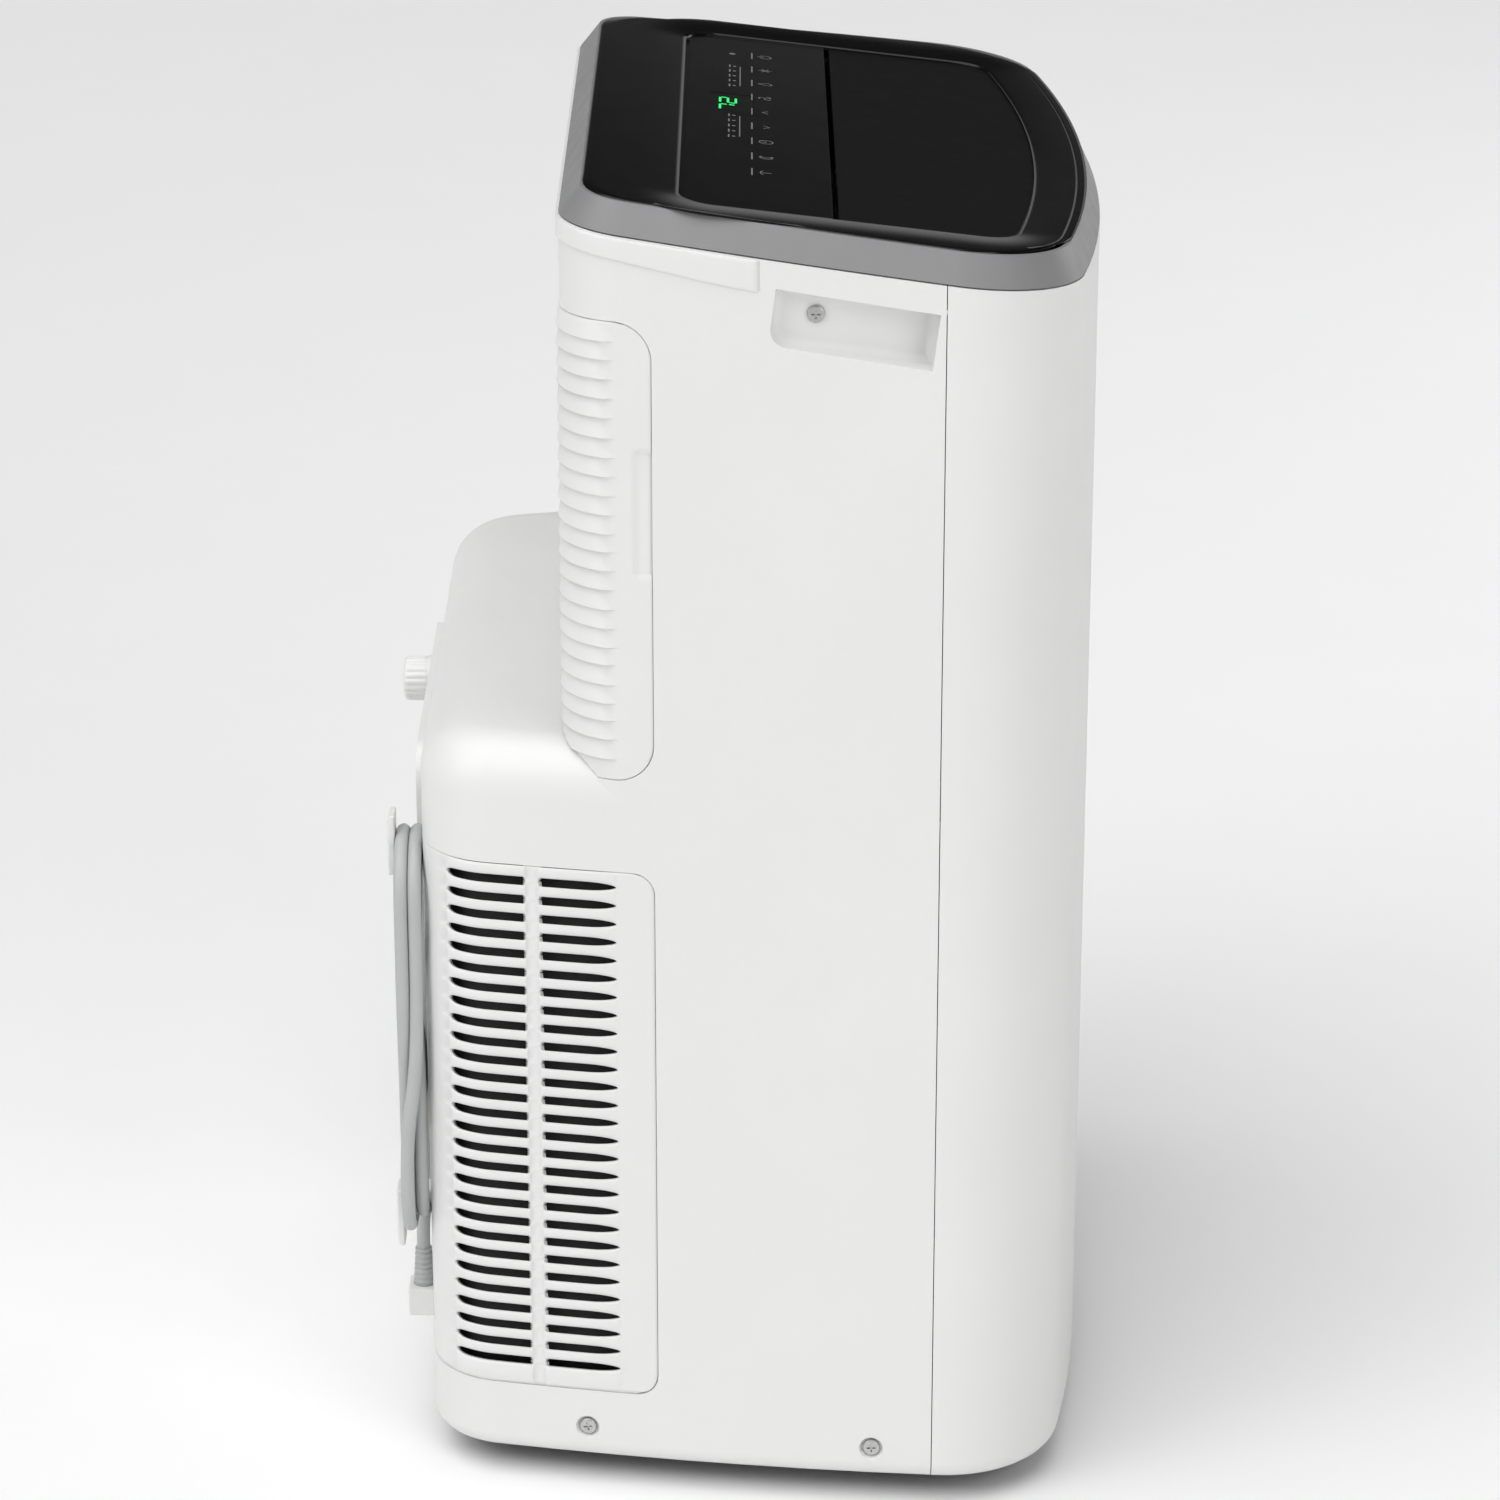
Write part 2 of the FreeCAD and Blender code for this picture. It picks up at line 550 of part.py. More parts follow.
vaneLow = barLow + 4
vaneTop = vaneLow + size("vaneTall")
for index, x in enumerate(vaneX, start=1):
    blade = Part.makeBox(size("vaneThick"), size("vaneLong"), size("vaneTall"),
                         Vector(x - size("vaneThick") / 2, vaneV - size("vaneLong") / 2, vaneLow))
    pin = Part.makeCylinder(size("vanePin"), 5.2, Vector(x, vaneV, vaneLow - 5))
    collar = Part.makeCylinder(3.2, 6, Vector(x, vaneV, vaneLow))
    crank = Part.makeCylinder(size("crankPin"), 5, Vector(x, vaneV - size("crankThrow"), vaneTop - 1))
    feature("guide_vane_%d" % index, blade.fuse([pin, collar, crank]), topFrame)

linkBody = doc.addObject("PartDesign::Body", "linkBar")


def originPlane(body, role):
    return [part for part in body.Origin.OriginFeatures if part.Role == role][0]


def sketchOn(body, role, name):
    """Sketch attached flat to one of its body's origin planes."""
    sketch = body.newObject("Sketcher::SketchObject", name)
    sketch.AttachmentSupport = (originPlane(body, role), "")
    sketch.MapMode = "FlatFace"
    return sketch


def closedProfile(sketch, points):
    """Closed polygon whose corners are joined by coincident constraints."""
    count = len(points)
    for index in range(count):
        sketch.addGeometry(Part.LineSegment(points[index], points[(index + 1) % count]))
    for index in range(count):
        sketch.addConstraint(Sketcher.Constraint("Coincident", index, 2, (index + 1) % count, 1))


linkHalf = vaneX[-1] + 8
linkSketch = sketchOn(linkBody, "XY_Plane", "linkOutline")
closedProfile(linkSketch, [Vector(-linkHalf, -5, 0), Vector(linkHalf, -5, 0),
                           Vector(linkHalf, 5, 0), Vector(-linkHalf, 5, 0)])
linkPad = linkBody.newObject("PartDesign::Pad", "linkPad")
linkPad.Profile = linkSketch
bind(linkPad, {"Length": "Sizes.vaneThick"})
holeSketch = sketchOn(linkBody, "XY_Plane", "linkHole")
holeSketch.addGeometry(Part.Circle(Vector(vaneX[0], 0, 0), Vector(0, 0, 1), 2))
holeRadius = holeSketch.addConstraint(Sketcher.Constraint("Radius", 0, 2))
holeSketch.setExpression("Constraints[%d]" % holeRadius, "Sizes.crankPin + Sizes.linkSlack")
linkPocket = linkBody.newObject("PartDesign::Pocket", "linkPocket")
linkPocket.Profile = holeSketch
linkPocket.Type = "ThroughAll"
linkPocket.Reversed = True
linkHoles = linkBody.newObject("PartDesign::LinearPattern", "linkHoles")
linkHoles.Originals = [linkPocket]
linkHoles.Direction = (originPlane(linkBody, "X_Axis"), [""])
bind(linkHoles, {"Length": "Sizes.vanePitch * (Sizes.vaneCount - 1)",
                 "Occurrences": "Sizes.vaneCount"})
linkBody.Tip = linkHoles
linkBody.Placement = topFrame.multiply(Placement(Vector(0, vaneV - size("crankThrow"),
                                                        vaneTop + 1), Rotation()))
node(linkBody, "vane_link_bar")

# Exhaust outlet and drain

plateThick = size("plateProud")
backY = size("humpBackY")
plate = Part.makeBox(2 * size("plateHalf"), plateThick, size("plateTop") - size("plateLow"),
                     Vector(-size("plateHalf"), backY, size("plateLow")))
plate = plate.makeFillet(size("plateRound"), [e for e in plate.Edges
                                              if abs(e.Length - plateThick) < 1e-6])
along = Vector(0, 1, 0)
collarY = backY + plateThick - size("outletDeep")
mouth = Vector(0, collarY, size("outletZ"))
collar = Part.makeCylinder(size("outletR") + size("outletWall"), size("outletDeep"), mouth, along)
bore = Part.makeCylinder(size("outletR"), 80, mouth - Vector(0, 20, 0), along)
spoutHole = Part.makeCylinder(size("spoutR") + 0.1, 60,
                              Vector(size("drainX"), 140, size("drainZ")), along)
feature("exhaust_flange", plate.fuse(collar).cut(bore.fuse(spoutHole)))

guardY = collarY - 4.2
guard = Part.makeCylinder(size("outletR") + size("outletWall"), 4, Vector(0, guardY, size("outletZ")),
                          along)
guard = guard.cut(Part.makeCylinder(size("outletR") - 1, 4, Vector(0, guardY, size("outletZ")), along))
bars = [Part.makeBox(2.4, 3, 2 * size("outletR"),
                     Vector(x - 1.2, guardY + 0.5, size("outletZ") - size("outletR")))
        for x in (-60, -45, -30, -15, 0, 15, 30, 45, 60)]
bars.append(Part.makeBox(2 * size("outletR"), 3, 2.4,
                         Vector(-size("outletR"), guardY + 0.5, size("outletZ") - 1.2)))
rimDisc = Part.makeCylinder(size("outletR") + 1, 4, Vector(0, guardY, size("outletZ")), along)
feature("exhaust_guard", guard.fuse([b.common(rimDisc) for b in bars]))

faceY = backY + plateThick
spout = Part.makeCylinder(size("spoutR"), 40, Vector(size("drainX"), faceY - 26, size("drainZ")), along)
spout = spout.cut(Part.makeCylinder(size("spoutBore"), 42,
                                    Vector(size("drainX"), faceY - 27, size("drainZ")), along))
feature("drain_spout", spout)
gasket = cut("gasketRing", rod("gasketDisc", "Sizes.drainR + 2.5", "Sizes.gasketThick", "Sizes.drainX",
                               "Sizes.humpBackY + Sizes.plateProud", "Sizes.drainZ", along),
             [rod("gasketHole", "Sizes.spoutR + 0.1", "10", "Sizes.drainX", "Sizes.humpBackY",
                  "Sizes.drainZ", along)])
node(gasket, "drain_gasket")

capBody = doc.addObject("PartDesign::Body", "capBody")
capSketch = sketchOn(capBody, "XY_Plane", "capOutline")
capSketch.addGeometry(Part.Circle(Vector(), Vector(0, 0, 1), 12))
capRadius = capSketch.addConstraint(Sketcher.Constraint("Radius", 0, 12))
capSketch.setExpression("Constraints[%d]" % capRadius, "Sizes.drainR")
capPad = capBody.newObject("PartDesign::Pad", "capPad")
capPad.Profile = capSketch
bind(capPad, {"Length": "Sizes.drainLong"})
boreSketch = sketchOn(capBody, "XY_Plane", "capBore")
boreSketch.addGeometry(Part.Circle(Vector(), Vector(0, 0, 1), 8))
boreRadius = boreSketch.addConstraint(Sketcher.Constraint("Radius", 0, 8))
boreSketch.setExpression("Constraints[%d]" % boreRadius, "Sizes.spoutR + Sizes.runningGap")
capBore = capBody.newObject("PartDesign::Pocket", "capBore")
capBore.Profile = boreSketch
capBore.Reversed = True
bind(capBore, {"Length": "Sizes.drainLong - 3"})
fluteSketch = sketchOn(capBody, "XY_Plane", "capFlute")
fluteSketch.addGeometry(Part.Circle(Vector(size("drainR") + 0.6, 0, 0), Vector(0, 0, 1), 1.3))
capFlute = capBody.newObject("PartDesign::Pocket", "capFlute")
capFlute.Profile = fluteSketch
capFlute.Type = "ThroughAll"
capFlute.Reversed = True
capFlutes = capBody.newObject("PartDesign::PolarPattern", "capFlutes")
capFlutes.Originals = [capFlute]
capFlutes.Axis = (originPlane(capBody, "Z_Axis"), [""])
capFlutes.Angle = 360
bind(capFlutes, {"Occurrences": "Sizes.drainFlutes"})
capBody.Tip = capFlutes
capBody.Placement = Placement(Vector(size("drainX"), faceY + size("gasketThick") + 0.3, size("drainZ")),
                              Rotation(Vector(0, 0, 1), along))
node(capBody, "drain_cap")

plugHead = rod("plugHead", "Sizes.lowerPlugR + 3", "3", "Sizes.lowerPlugX",
               "Sizes.humpBackY + 0.2", "Sizes.lowerPlugZ", along)
plugStem = rod("plugStem", "Sizes.lowerPlugR", "9", "Sizes.lowerPlugX",
               "Sizes.humpBackY - 8.5", "Sizes.lowerPlugZ", along)
node(fuse("lowerPlug", [plugHead, plugStem]), "lower_drain_plug")

# Base pan and casters

panTop = size("panFloor") + size("panSkin")
panInset = size("undersideRound") + 0.4
pan = humpPrism(panInset, size("panFloor"), size("panFloor") + 14)
pan = pan.cut(humpPrism(panInset + 2.8, panTop, size("panFloor") + 20))
insideRoom = humpPrism(skin + 0.4, size("panFloor"), 100)
insideRoom = insideRoom.makeFillet(size("undersideRound") - skin - 0.6,
                                   levelEdges(insideRoom, size("panFloor")))
casters = [("rear_left", -size("rearCasterX"), size("rearCasterY")),
           ("rear_right", size("rearCasterX"), size("rearCasterY")),
           ("front_left", -size("frontCasterX"), size("frontCasterY")),
           ("front_right", size("frontCasterX"), size("frontCasterY"))]
wellTop = size("wellTop")
for name, x, y in casters:
    cup = Part.makeCylinder(size("wellR") + 2.2, wellTop + 2.5 - size("panFloor"),
                            Vector(x, y, size("panFloor")))
    boss = Part.makeCylinder(size("stemR") + 3, 14, Vector(x, y, wellTop))
    room = Part.makeCylinder(size("wellR"), wellTop, Vector(x, y, 0))
    socket = Part.makeCylinder(size("stemR") + size("runningGap"), 40, Vector(x, y, wellTop - 5))
    pan = pan.fuse([cup, boss]).cut(room.fuse(socket))
feature("base_pan", pan.common(insideRoom))

crownLow = 2 * size("wheelR") + 3
for name, x, y in casters:
    axle = Vector(x, y + size("casterOffset"), size("wheelR"))
    crown = rod(name + "_crown", "12", "4", "%g" % x, "%g" % y, "%g" % crownLow)
    stem = rod(name + "_stem", "Sizes.stemR", "20", "%g" % x, "%g" % y, "%g" % (crownLow + 3))
    ears = []
    for side in (-1, 1):
        earX = "%g + %d * (Sizes.wheelWide / 2 + 0.8) - %g" % (x, side, 2.5 if side < 0 else 0)
        ears.append(box("%s_ear_%d" % (name, side), "2.5", "Sizes.casterOffset + 12",
                        "%g - Sizes.wheelR + 6" % (crownLow + 1), earX, "%g - 5" % y,
                        "Sizes.wheelR - 6"))
    pin = rod(name + "_axle", "Sizes.axleR", "Sizes.wheelWide + 6.6",
              "%g - Sizes.wheelWide / 2 - 3.3" % x, "%g + Sizes.casterOffset" % y,
              "Sizes.wheelR", Vector(1, 0, 0))
    node(fuse(name + "_fork_solid", [crown, stem, pin] + ears), "caster_fork_" + name)
    tread = rod(name + "_tread", "Sizes.wheelR", "Sizes.wheelWide", "%g - Sizes.wheelWide / 2" % x,
                "%g + Sizes.casterOffset" % y, "Sizes.wheelR", Vector(1, 0, 0))
    hub = rod(name + "_hub", "Sizes.axleR + Sizes.runningGap", "30", "%g - 15" % x,
              "%g + Sizes.casterOffset" % y, "Sizes.wheelR", Vector(1, 0, 0))
    node(cut(name + "_wheel_solid", tread, [hub]), "caster_wheel_" + name)

# Screws

screws = [placed(screwShape(), frame) for frame in sideScrewFrames]
feature("casing_screws", Part.makeCompound(screws))
gripScrews = []
for side in (-1, 1):
    wallX = sideX(size("gripFrontY")) - size("gripDeep")
    frame = Placement(Vector(side * (wallX + 2.5), size("gripScrewY"), size("gripScrewZ")),
                      Rotation(Vector(0, 0, 1), Vector(side, 0, 0)))
    gripScrews.append(placed(screwShape().common(Part.makeBox(20, 20, 6, Vector(-10, -10, -2.4))),
                             frame))
feature("grip_screws", Part.makeCompound(gripScrews))

# Cord storage on the back


def hook(label, stemZ, lipSign):
    """L-shaped hook: a stem out from the back and a lip that keeps the cord on it."""
    body = doc.addObject("PartDesign::Body", label + "Body")
    sketch = sketchOn(body, "YZ_Plane", label + "Outline")
    half = size("stemThick") / 2
    reach = size("hookReach")
    outer = reach + size("lipThick")
    tip = lipSign * (size("lipLong") - half)
    points = [Vector(0, -lipSign * half, 0), Vector(outer, -lipSign * half, 0),
              Vector(outer, tip - lipSign * 4, 0), Vector(outer - 1, tip, 0), Vector(reach, tip, 0),
              Vector(reach, lipSign * half, 0), Vector(0, lipSign * half, 0)]
    closedProfile(sketch, points)
    pad = body.newObject("PartDesign::Pad", label + "Pad")
    pad.Profile = sketch
    pad.Midplane = True
    bind(pad, {"Length": "Sizes.hookWide"})
    body.Tip = pad
    at(body, "Sizes.hookX", "Sizes.humpBackY", "Sizes.%s" % stemZ)
    node(body, label)


hook("cord_hook_upper", "upperStemZ", 1)
hook("cord_hook_lower", "lowerStemZ", -1)

strand = size("hankStrand")
hankInnerHalf = size("hankHalf") - strand
innerTop = size("upperStemZ") + size("stemThick") / 2 + 2.2
innerLow = size("lowerStemZ") - size("stemThick") / 2 - 2.2


def racetrack(half, low, top, front, back):
    """Block with half-round ends, seen from the back."""
    block = Part.makeBox(2 * half, back - front, top - low, Vector(size("hookX") - half, front, low))
    ends = [e for e in block.Edges if abs(e.Length - (back - front)) < 1e-6]
    return block.makeFillet(half - 0.05, ends)


hankFront = size("humpBackY") + 0.5
hankBack = size("humpBackY") + size("hookReach") - 0.5
hank = racetrack(size("hankHalf"), innerLow - strand, innerTop + strand, hankFront, hankBack)
hank = hank.cut(racetrack(hankInnerHalf, innerLow, innerTop, hankFront - 1, hankBack + 1))
feature("cord_hank", hank)


def routeTube(points, radius):
    """Tube along straight runs joined by tangent arcs, as large as the runs allow."""
    edges = []
    start = points[0]
    radii = []
    for before, corner, after in zip(points[:-2], points[1:-1], points[2:]):
        into = corner - before
        out = after - corner
        half = into.getAngle(out) / 2
        shorter = min(into.Length, out.Length)
        bend = 0.45 * shorter / math.tan(half)
        radii.append(bend)
        into.normalize()
        out.normalize()
        first = corner - into * (0.45 * shorter)
        last = corner + out * (0.45 * shorter)
        inward = (out - into).normalize()
        middle = corner + inward * (bend / math.cos(half) - bend)
        edges.append(Part.LineSegment(start, first).toShape())
        edges.append(Part.Arc(first, middle, last).toShape())
        start = last
    edges.append(Part.LineSegment(start, points[-1]).toShape())
    path = Part.Wire(edges)
    direction = (points[1] - points[0]).normalize()
    ring = Part.Wire(Part.makeCircle(radius, points[0], direction))
    tube = path.makePipeShell([ring], True, False)
    print("tube length %.1f volume ratio %.4f radii %s" % (
        path.Length, tube.Volume / (math.pi * radius ** 2 * path.Length),
        ", ".join("%.0f" % r for r in radii)))
    return tube


glandX = size("glandX")
glandTop = size("glandZ") + size("glandTall")
leadY = size("humpBackY") + 7.5
leadStart = glandTop + size("reliefLong")
leadPoints = [Vector(glandX, leadY, leadStart), Vector(glandX, leadY, leadStart + 14),
              Vector(glandX - 0.3, leadY - 1.6, leadStart + 28.5),
              Vector(glandX - 1.2, leadY - 2.9, leadStart + 43),
              Vector(glandX - 1.4, leadY - 3.1, leadStart + 57)]
feature("cord_lead", routeTube(leadPoints, size("cordR")).cut(hank))
gland = box("glandBlock", "20", "16", "Sizes.glandTall", "Sizes.glandX - 10", "Sizes.humpBackY",
            "Sizes.glandZ")
node(gland, "cord_gland")
relief = doc.addObject("Part::Cone", "reliefCone")
bind(relief, {"Radius1": "6", "Radius2": "Sizes.cordR + 0.9", "Height": "Sizes.reliefLong"})
at(relief, "Sizes.glandX", "Sizes.humpBackY + 7.5", "Sizes.glandZ + Sizes.glandTall")
reliefHole = rod("reliefHole", "Sizes.cordR", "40", "Sizes.glandX", "Sizes.humpBackY + 7.5",
                 "Sizes.glandZ + Sizes.glandTall + Sizes.reliefLong")
node(cut("reliefSolid", relief, [reliefHole]), "strain_relief")

plugBody = box("plugGrip", "Sizes.gripWide", "Sizes.gripThick", "Sizes.gripLong",
               "Sizes.hookX - Sizes.gripWide / 2", "Sizes.humpBackY + 1", "Sizes.plugZ")
blades = [box("plugBlade%d" % side, "1.6", "6.4", "Sizes.pinLong",
              "Sizes.hookX + %d * Sizes.pinSpread - 0.8" % side, "Sizes.humpBackY + 4.3",
              "Sizes.plugZ - Sizes.pinLong") for side in (-1, 1)]
earth = rod("plugEarth", "2.4", "Sizes.pinLong + 2", "Sizes.hookX", "Sizes.humpBackY + 11.2",
            "Sizes.plugZ - Sizes.pinLong - 2")
node(fuse("plugSolid", [plugBody, earth] + blades), "plug")

# Machinery in the lower half


def wheelShape(radius, width):
    """Blower wheel along +Z: back plate, hub, blades and an inlet ring."""
    plate = Part.makeCylinder(radius, 2)
    hub = Part.makeCylinder(12, width - 10)
    ring = Part.makeCylinder(radius, 3, Vector(0, 0, width - 3))
    ring = ring.cut(Part.makeCylinder(radius - 14, 3, Vector(0, 0, width - 3)))
    blade = Part.makeBox(12, 1.6, width - 1, Vector(radius - 13, -0.8, 1))
    blade.rotate(Vector(radius - 7, 0, 0), Vector(0, 0, 1), 28)
    blade = blade.common(Part.makeCylinder(radius - 0.3, width))
    around = []
    for step in range(int(size("blades"))):
        copy = blade.copy()
        copy.rotate(Vector(), Vector(0, 0, 1), step * 360 / size("blades"))
        around.append(copy)
    return plate.fuse([hub, ring] + around)


def blowerWheel(shaftLow, shaftHigh, radius, width):
    shaft = Part.makeCylinder(size("shaftR"), shaftHigh - shaftLow, Vector(0, 0, shaftLow))
    return wheelShape(radius, width).fuse(shaft)


def scroll(radius, width, outletLeft, outletRight, outletTop, inlet):
    """Scroll housing along +Z with a rectangular outlet towards +Y."""
    t = 2.2
    drum = Part.makeCylinder(radius, width)
    spoutOuter = Part.makeBox(outletRight - outletLeft, outletTop, width, Vector(outletLeft, 0, 0))
    drumHole = Part.makeCylinder(radius - t, width - 2 * t, Vector(0, 0, t))
    spoutHole = Part.makeBox(outletRight - outletLeft - 2 * t, outletTop + 1, width - 2 * t,
                             Vector(outletLeft + t, 0, t))
    solid = drum.fuse(spoutOuter).cut(drumHole.fuse(spoutHole))
    return solid.cut(Part.makeCylinder(inlet, width + 2, Vector(0, 0, -1)))


acrossX = Rotation(Vector(0, 0, 1), Vector(1, 0, 0))
acrossY = Rotation(Vector(-1, 0, 0), Vector(0, 0, 1), Vector(0, 1, 0))
lowerWide = size("lowerWheelWide")
lowerHousing = lowerWide + 16
lowerFrame = Placement(Vector(-lowerHousing / 2, size("lowerAxisY"), size("lowerAxisZ")), acrossX)
scrollR = size("scrollR")
feature("lower_scroll", scroll(scrollR, lowerHousing, -scrollR, 0, scrollR + 10, size("scrollInlet")),
        lowerFrame)
lowerWheelFrame = Placement(Vector(-lowerWide / 2, size("lowerAxisY"), size("lowerAxisZ")), acrossX)
feature("lower_blower", blowerWheel(-4, lowerWide + 50, size("lowerWheelR"), lowerWide),
        lowerWheelFrame)


def motorShape(radius, length):
    """Fan motor along +Z: ribbed can, end cap and a bore for the shaft."""
    can = Part.makeCylinder(radius, length)
    can = can.makeFillet(4, levelEdges(can, 0) + levelEdges(can, length))
    ribs = [Part.makeBox(2 * radius + 4, 2, length - 16, Vector(-radius - 2, -1, 8)) for _ in range(4)]
    for step, rib in enumerate(ribs):
        rib.rotate(Vector(), Vector(0, 0, 1), 45 * step)
    bore = Part.makeCylinder(size("shaftR") + size("runningGap"), length - 8, Vector(0, 0, -1))
    return can.fuse(ribs).cut(bore)


feature("lower_fan_motor", motorShape(size("motorR"), size("lowerMotorLong")),
        Placement(Vector(lowerHousing / 2 + 6, size("lowerAxisY"), size("lowerAxisZ")), acrossX))

# Compressor on its rubber feet
canister = rod("canister", "Sizes.compressorR", "Sizes.compressorTall", "Sizes.compressorX",
               "Sizes.compressorY", "Sizes.compressorZ")
dome = doc.addObject("Part::Fillet", "canisterDome")
dome.Base = canister
doc.recompute()
dome.Edges = [(index, 22.0, 22.0) for index, edge in enumerate(canister.Shape.Edges, start=1)
              if len(edge.Vertexes) == 1]
footPlate = rod("footPlate", "Sizes.compressorR + 3.5", "3", "Sizes.compressorX",
                "Sizes.compressorY", "Sizes.compressorZ")
dischargeStub = rod("dischargeStub", "5", "20", "Sizes.compressorX", "Sizes.compressorY",
                    "Sizes.compressorZ + Sizes.compressorTall - 3")
suctionStub = rod("suctionStub", "6", "24", "Sizes.compressorX + 26", "Sizes.compressorY + 10",
                  "Sizes.compressorZ + Sizes.compressorTall - 10")
node(fuse("compressorSolid", [dome, footPlate, dischargeStub, suctionStub]), "compressor")
feet = []
for turn in (30, 150, 270):
    feet.append(rod("foot%d" % turn, "8", "Sizes.compressorZ - Sizes.panFloor - Sizes.panSkin",
                    "Sizes.compressorX + 46 * cos(%d deg)" % turn,
                    "Sizes.compressorY + 46 * sin(%d deg)" % turn,
                    "Sizes.panFloor + Sizes.panSkin"))
node(fuse("compressorFeet", feet), "compressor_feet")


def coilShape(long, tall, deep, pitch):
    """Finned coil: end plates, flat fins along the length and hairpin tubes at one end."""
    plates = [Part.makeBox(1.5, deep, tall, Vector(x, 0, 0)) for x in (0, long - 1.5)]
    core = Part.makeBox(long - 3, deep - 4, tall - 4, Vector(1.5, 2, 2))
    fins = []
    for step in range(1, int((long - 6) / pitch)):
        fins.append(Part.makeBox(1.2, deep - 1, tall - 1, Vector(step * pitch, 0.5, 0.5)))
    hairpins = []
    for step in range(int(tall / 44)):
        low = 18 + step * 44
        for level in (low, low + 16):
            hairpins.append(Part.makeCylinder(3.2, 11, Vector(long - 1, deep / 2, level),
                                              Vector(1, 0, 0)))
        hairpins.append(Part.makeBox(7, 7, 23, Vector(long + 5, deep / 2 - 3.5, low - 3.5)))
    return plates[0].fuse([plates[1], core] + fins + hairpins)


condenser = coilShape(size("condenserLong"), size("condenserTall"), size("condenserDeep"),
                      size("finPitch"))
for side, label in ((-1, "condenser_coil_left"), (1, "condenser_coil_right")):
    turned = condenser.copy()
    turned.Placement = Placement(Vector(size("condenserX"), size("condenserY"), size("condenserZ")),
                                 Rotation(Vector(0, 0, 1), 90))
    if side < 0:
        turned = turned.mirror(Vector(), Vector(1, 0, 0))
    feature(label, turned)

evaporator = coilShape(size("evaporatorLong"), size("evaporatorTall"), size("evaporatorDeep"),
                       size("finPitch"))
feature("evaporator_coil", evaporator,
        Placement(Vector(-160, size("evaporatorY"), size("evaporatorZ")), Rotation()))

# Partition between the halves, which also catches the evaporator's drips
tray = upperPrism(skin + 1, size("trayZ"), size("trayZ") + 22)
tray = tray.cut(upperPrism(skin + 4, size("trayZ") + size("traySkin"), size("trayZ") + 30))
pipeHole = Part.makeCylinder(9, 60, Vector(-150, -60, size("trayZ") - 20))
feature("drip_tray", tray.cut(pipeHole).cut(depthSlab(-400, size("seamY") - 20)))

upperWide = size("upperWheelWide")
upperFrame = Placement(Vector(0, size("upperWheelY") - 7, size("upperAxisZ")), acrossY)
feature("upper_scroll", scroll(scrollR, upperWide + 16, -scrollR, scrollR, scrollR,
                               size("scrollInlet")), upperFrame)
upperWheelFrame = Placement(Vector(0, size("upperWheelY"), size("upperAxisZ")), acrossY)
feature("upper_blower", blowerWheel(-4, upperWide + 50, size("upperWheelR"), upperWide),
        upperWheelFrame)
feature("upper_fan_motor", motorShape(size("motorR"), size("upperMotorLong")),
        Placement(Vector(0, size("upperWheelY") + upperWide + 16, size("upperAxisZ")), acrossY))

controlBox = box("controlBox", "90", "60", "150", "96", "-160", "66")
node(controlBox, "control_box")
capacitor = rod("capacitorCan", "19", "72", "175", "-70", "24")
node(capacitor, "run_capacitor")

stubX = size("compressorX")
stubY = size("compressorY")
liquidLine = routeTube([Vector(stubX, stubY, 251.2), Vector(stubX, stubY, 290),
                        Vector(-125, -72, 312), Vector(-150, -60, 340), Vector(-150, -60, 380),
                        Vector(-150, -60.5, 430), Vector(-152, -35, 462), Vector(-156, 10, 470),
                        Vector(-156, 47.8, 470)], 4)
suctionLine = routeTube([Vector(stubX + 26, stubY + 10, 248.2),
                         Vector(stubX + 26, stubY + 12, 285), Vector(-100, -45, 310),
                         Vector(-140, -15, 322), Vector(-176, 14, 322), Vector(-176, 41.8, 322)], 5)
feature("discharge_pipe", liquidLine)
feature("suction_pipe", suctionLine)

# Check and write every node

doc.recompute()
for obj in doc.Objects:
    if "Invalid" in obj.State or "Error" in obj.State:
        raise RuntimeError("%s did not recompute: %s" % (obj.Name, obj.State))
os.makedirs("parts", exist_ok=True)
labels = set()
whole = FreeCAD.BoundBox()
for obj in nodes:
    shape = obj.Shape
    if shape.isNull() or not shape.isValid() or not shape.Solids or shape.Volume <= 0:
        raise RuntimeError("%s has no valid solid" % obj.Label)
    if obj.Label in labels or len(obj.Label) >= 60:
        raise RuntimeError("bad label %s" % obj.Label)
    labels.add(obj.Label)
    whole.add(shape.BoundBox)
    shape.exportStep("parts/%s.step" % obj.Label)
    print("%-22s solids %2d volume %10.0f" % (obj.Label, len(shape.Solids), shape.Volume))
print(len(nodes), "nodes", whole)
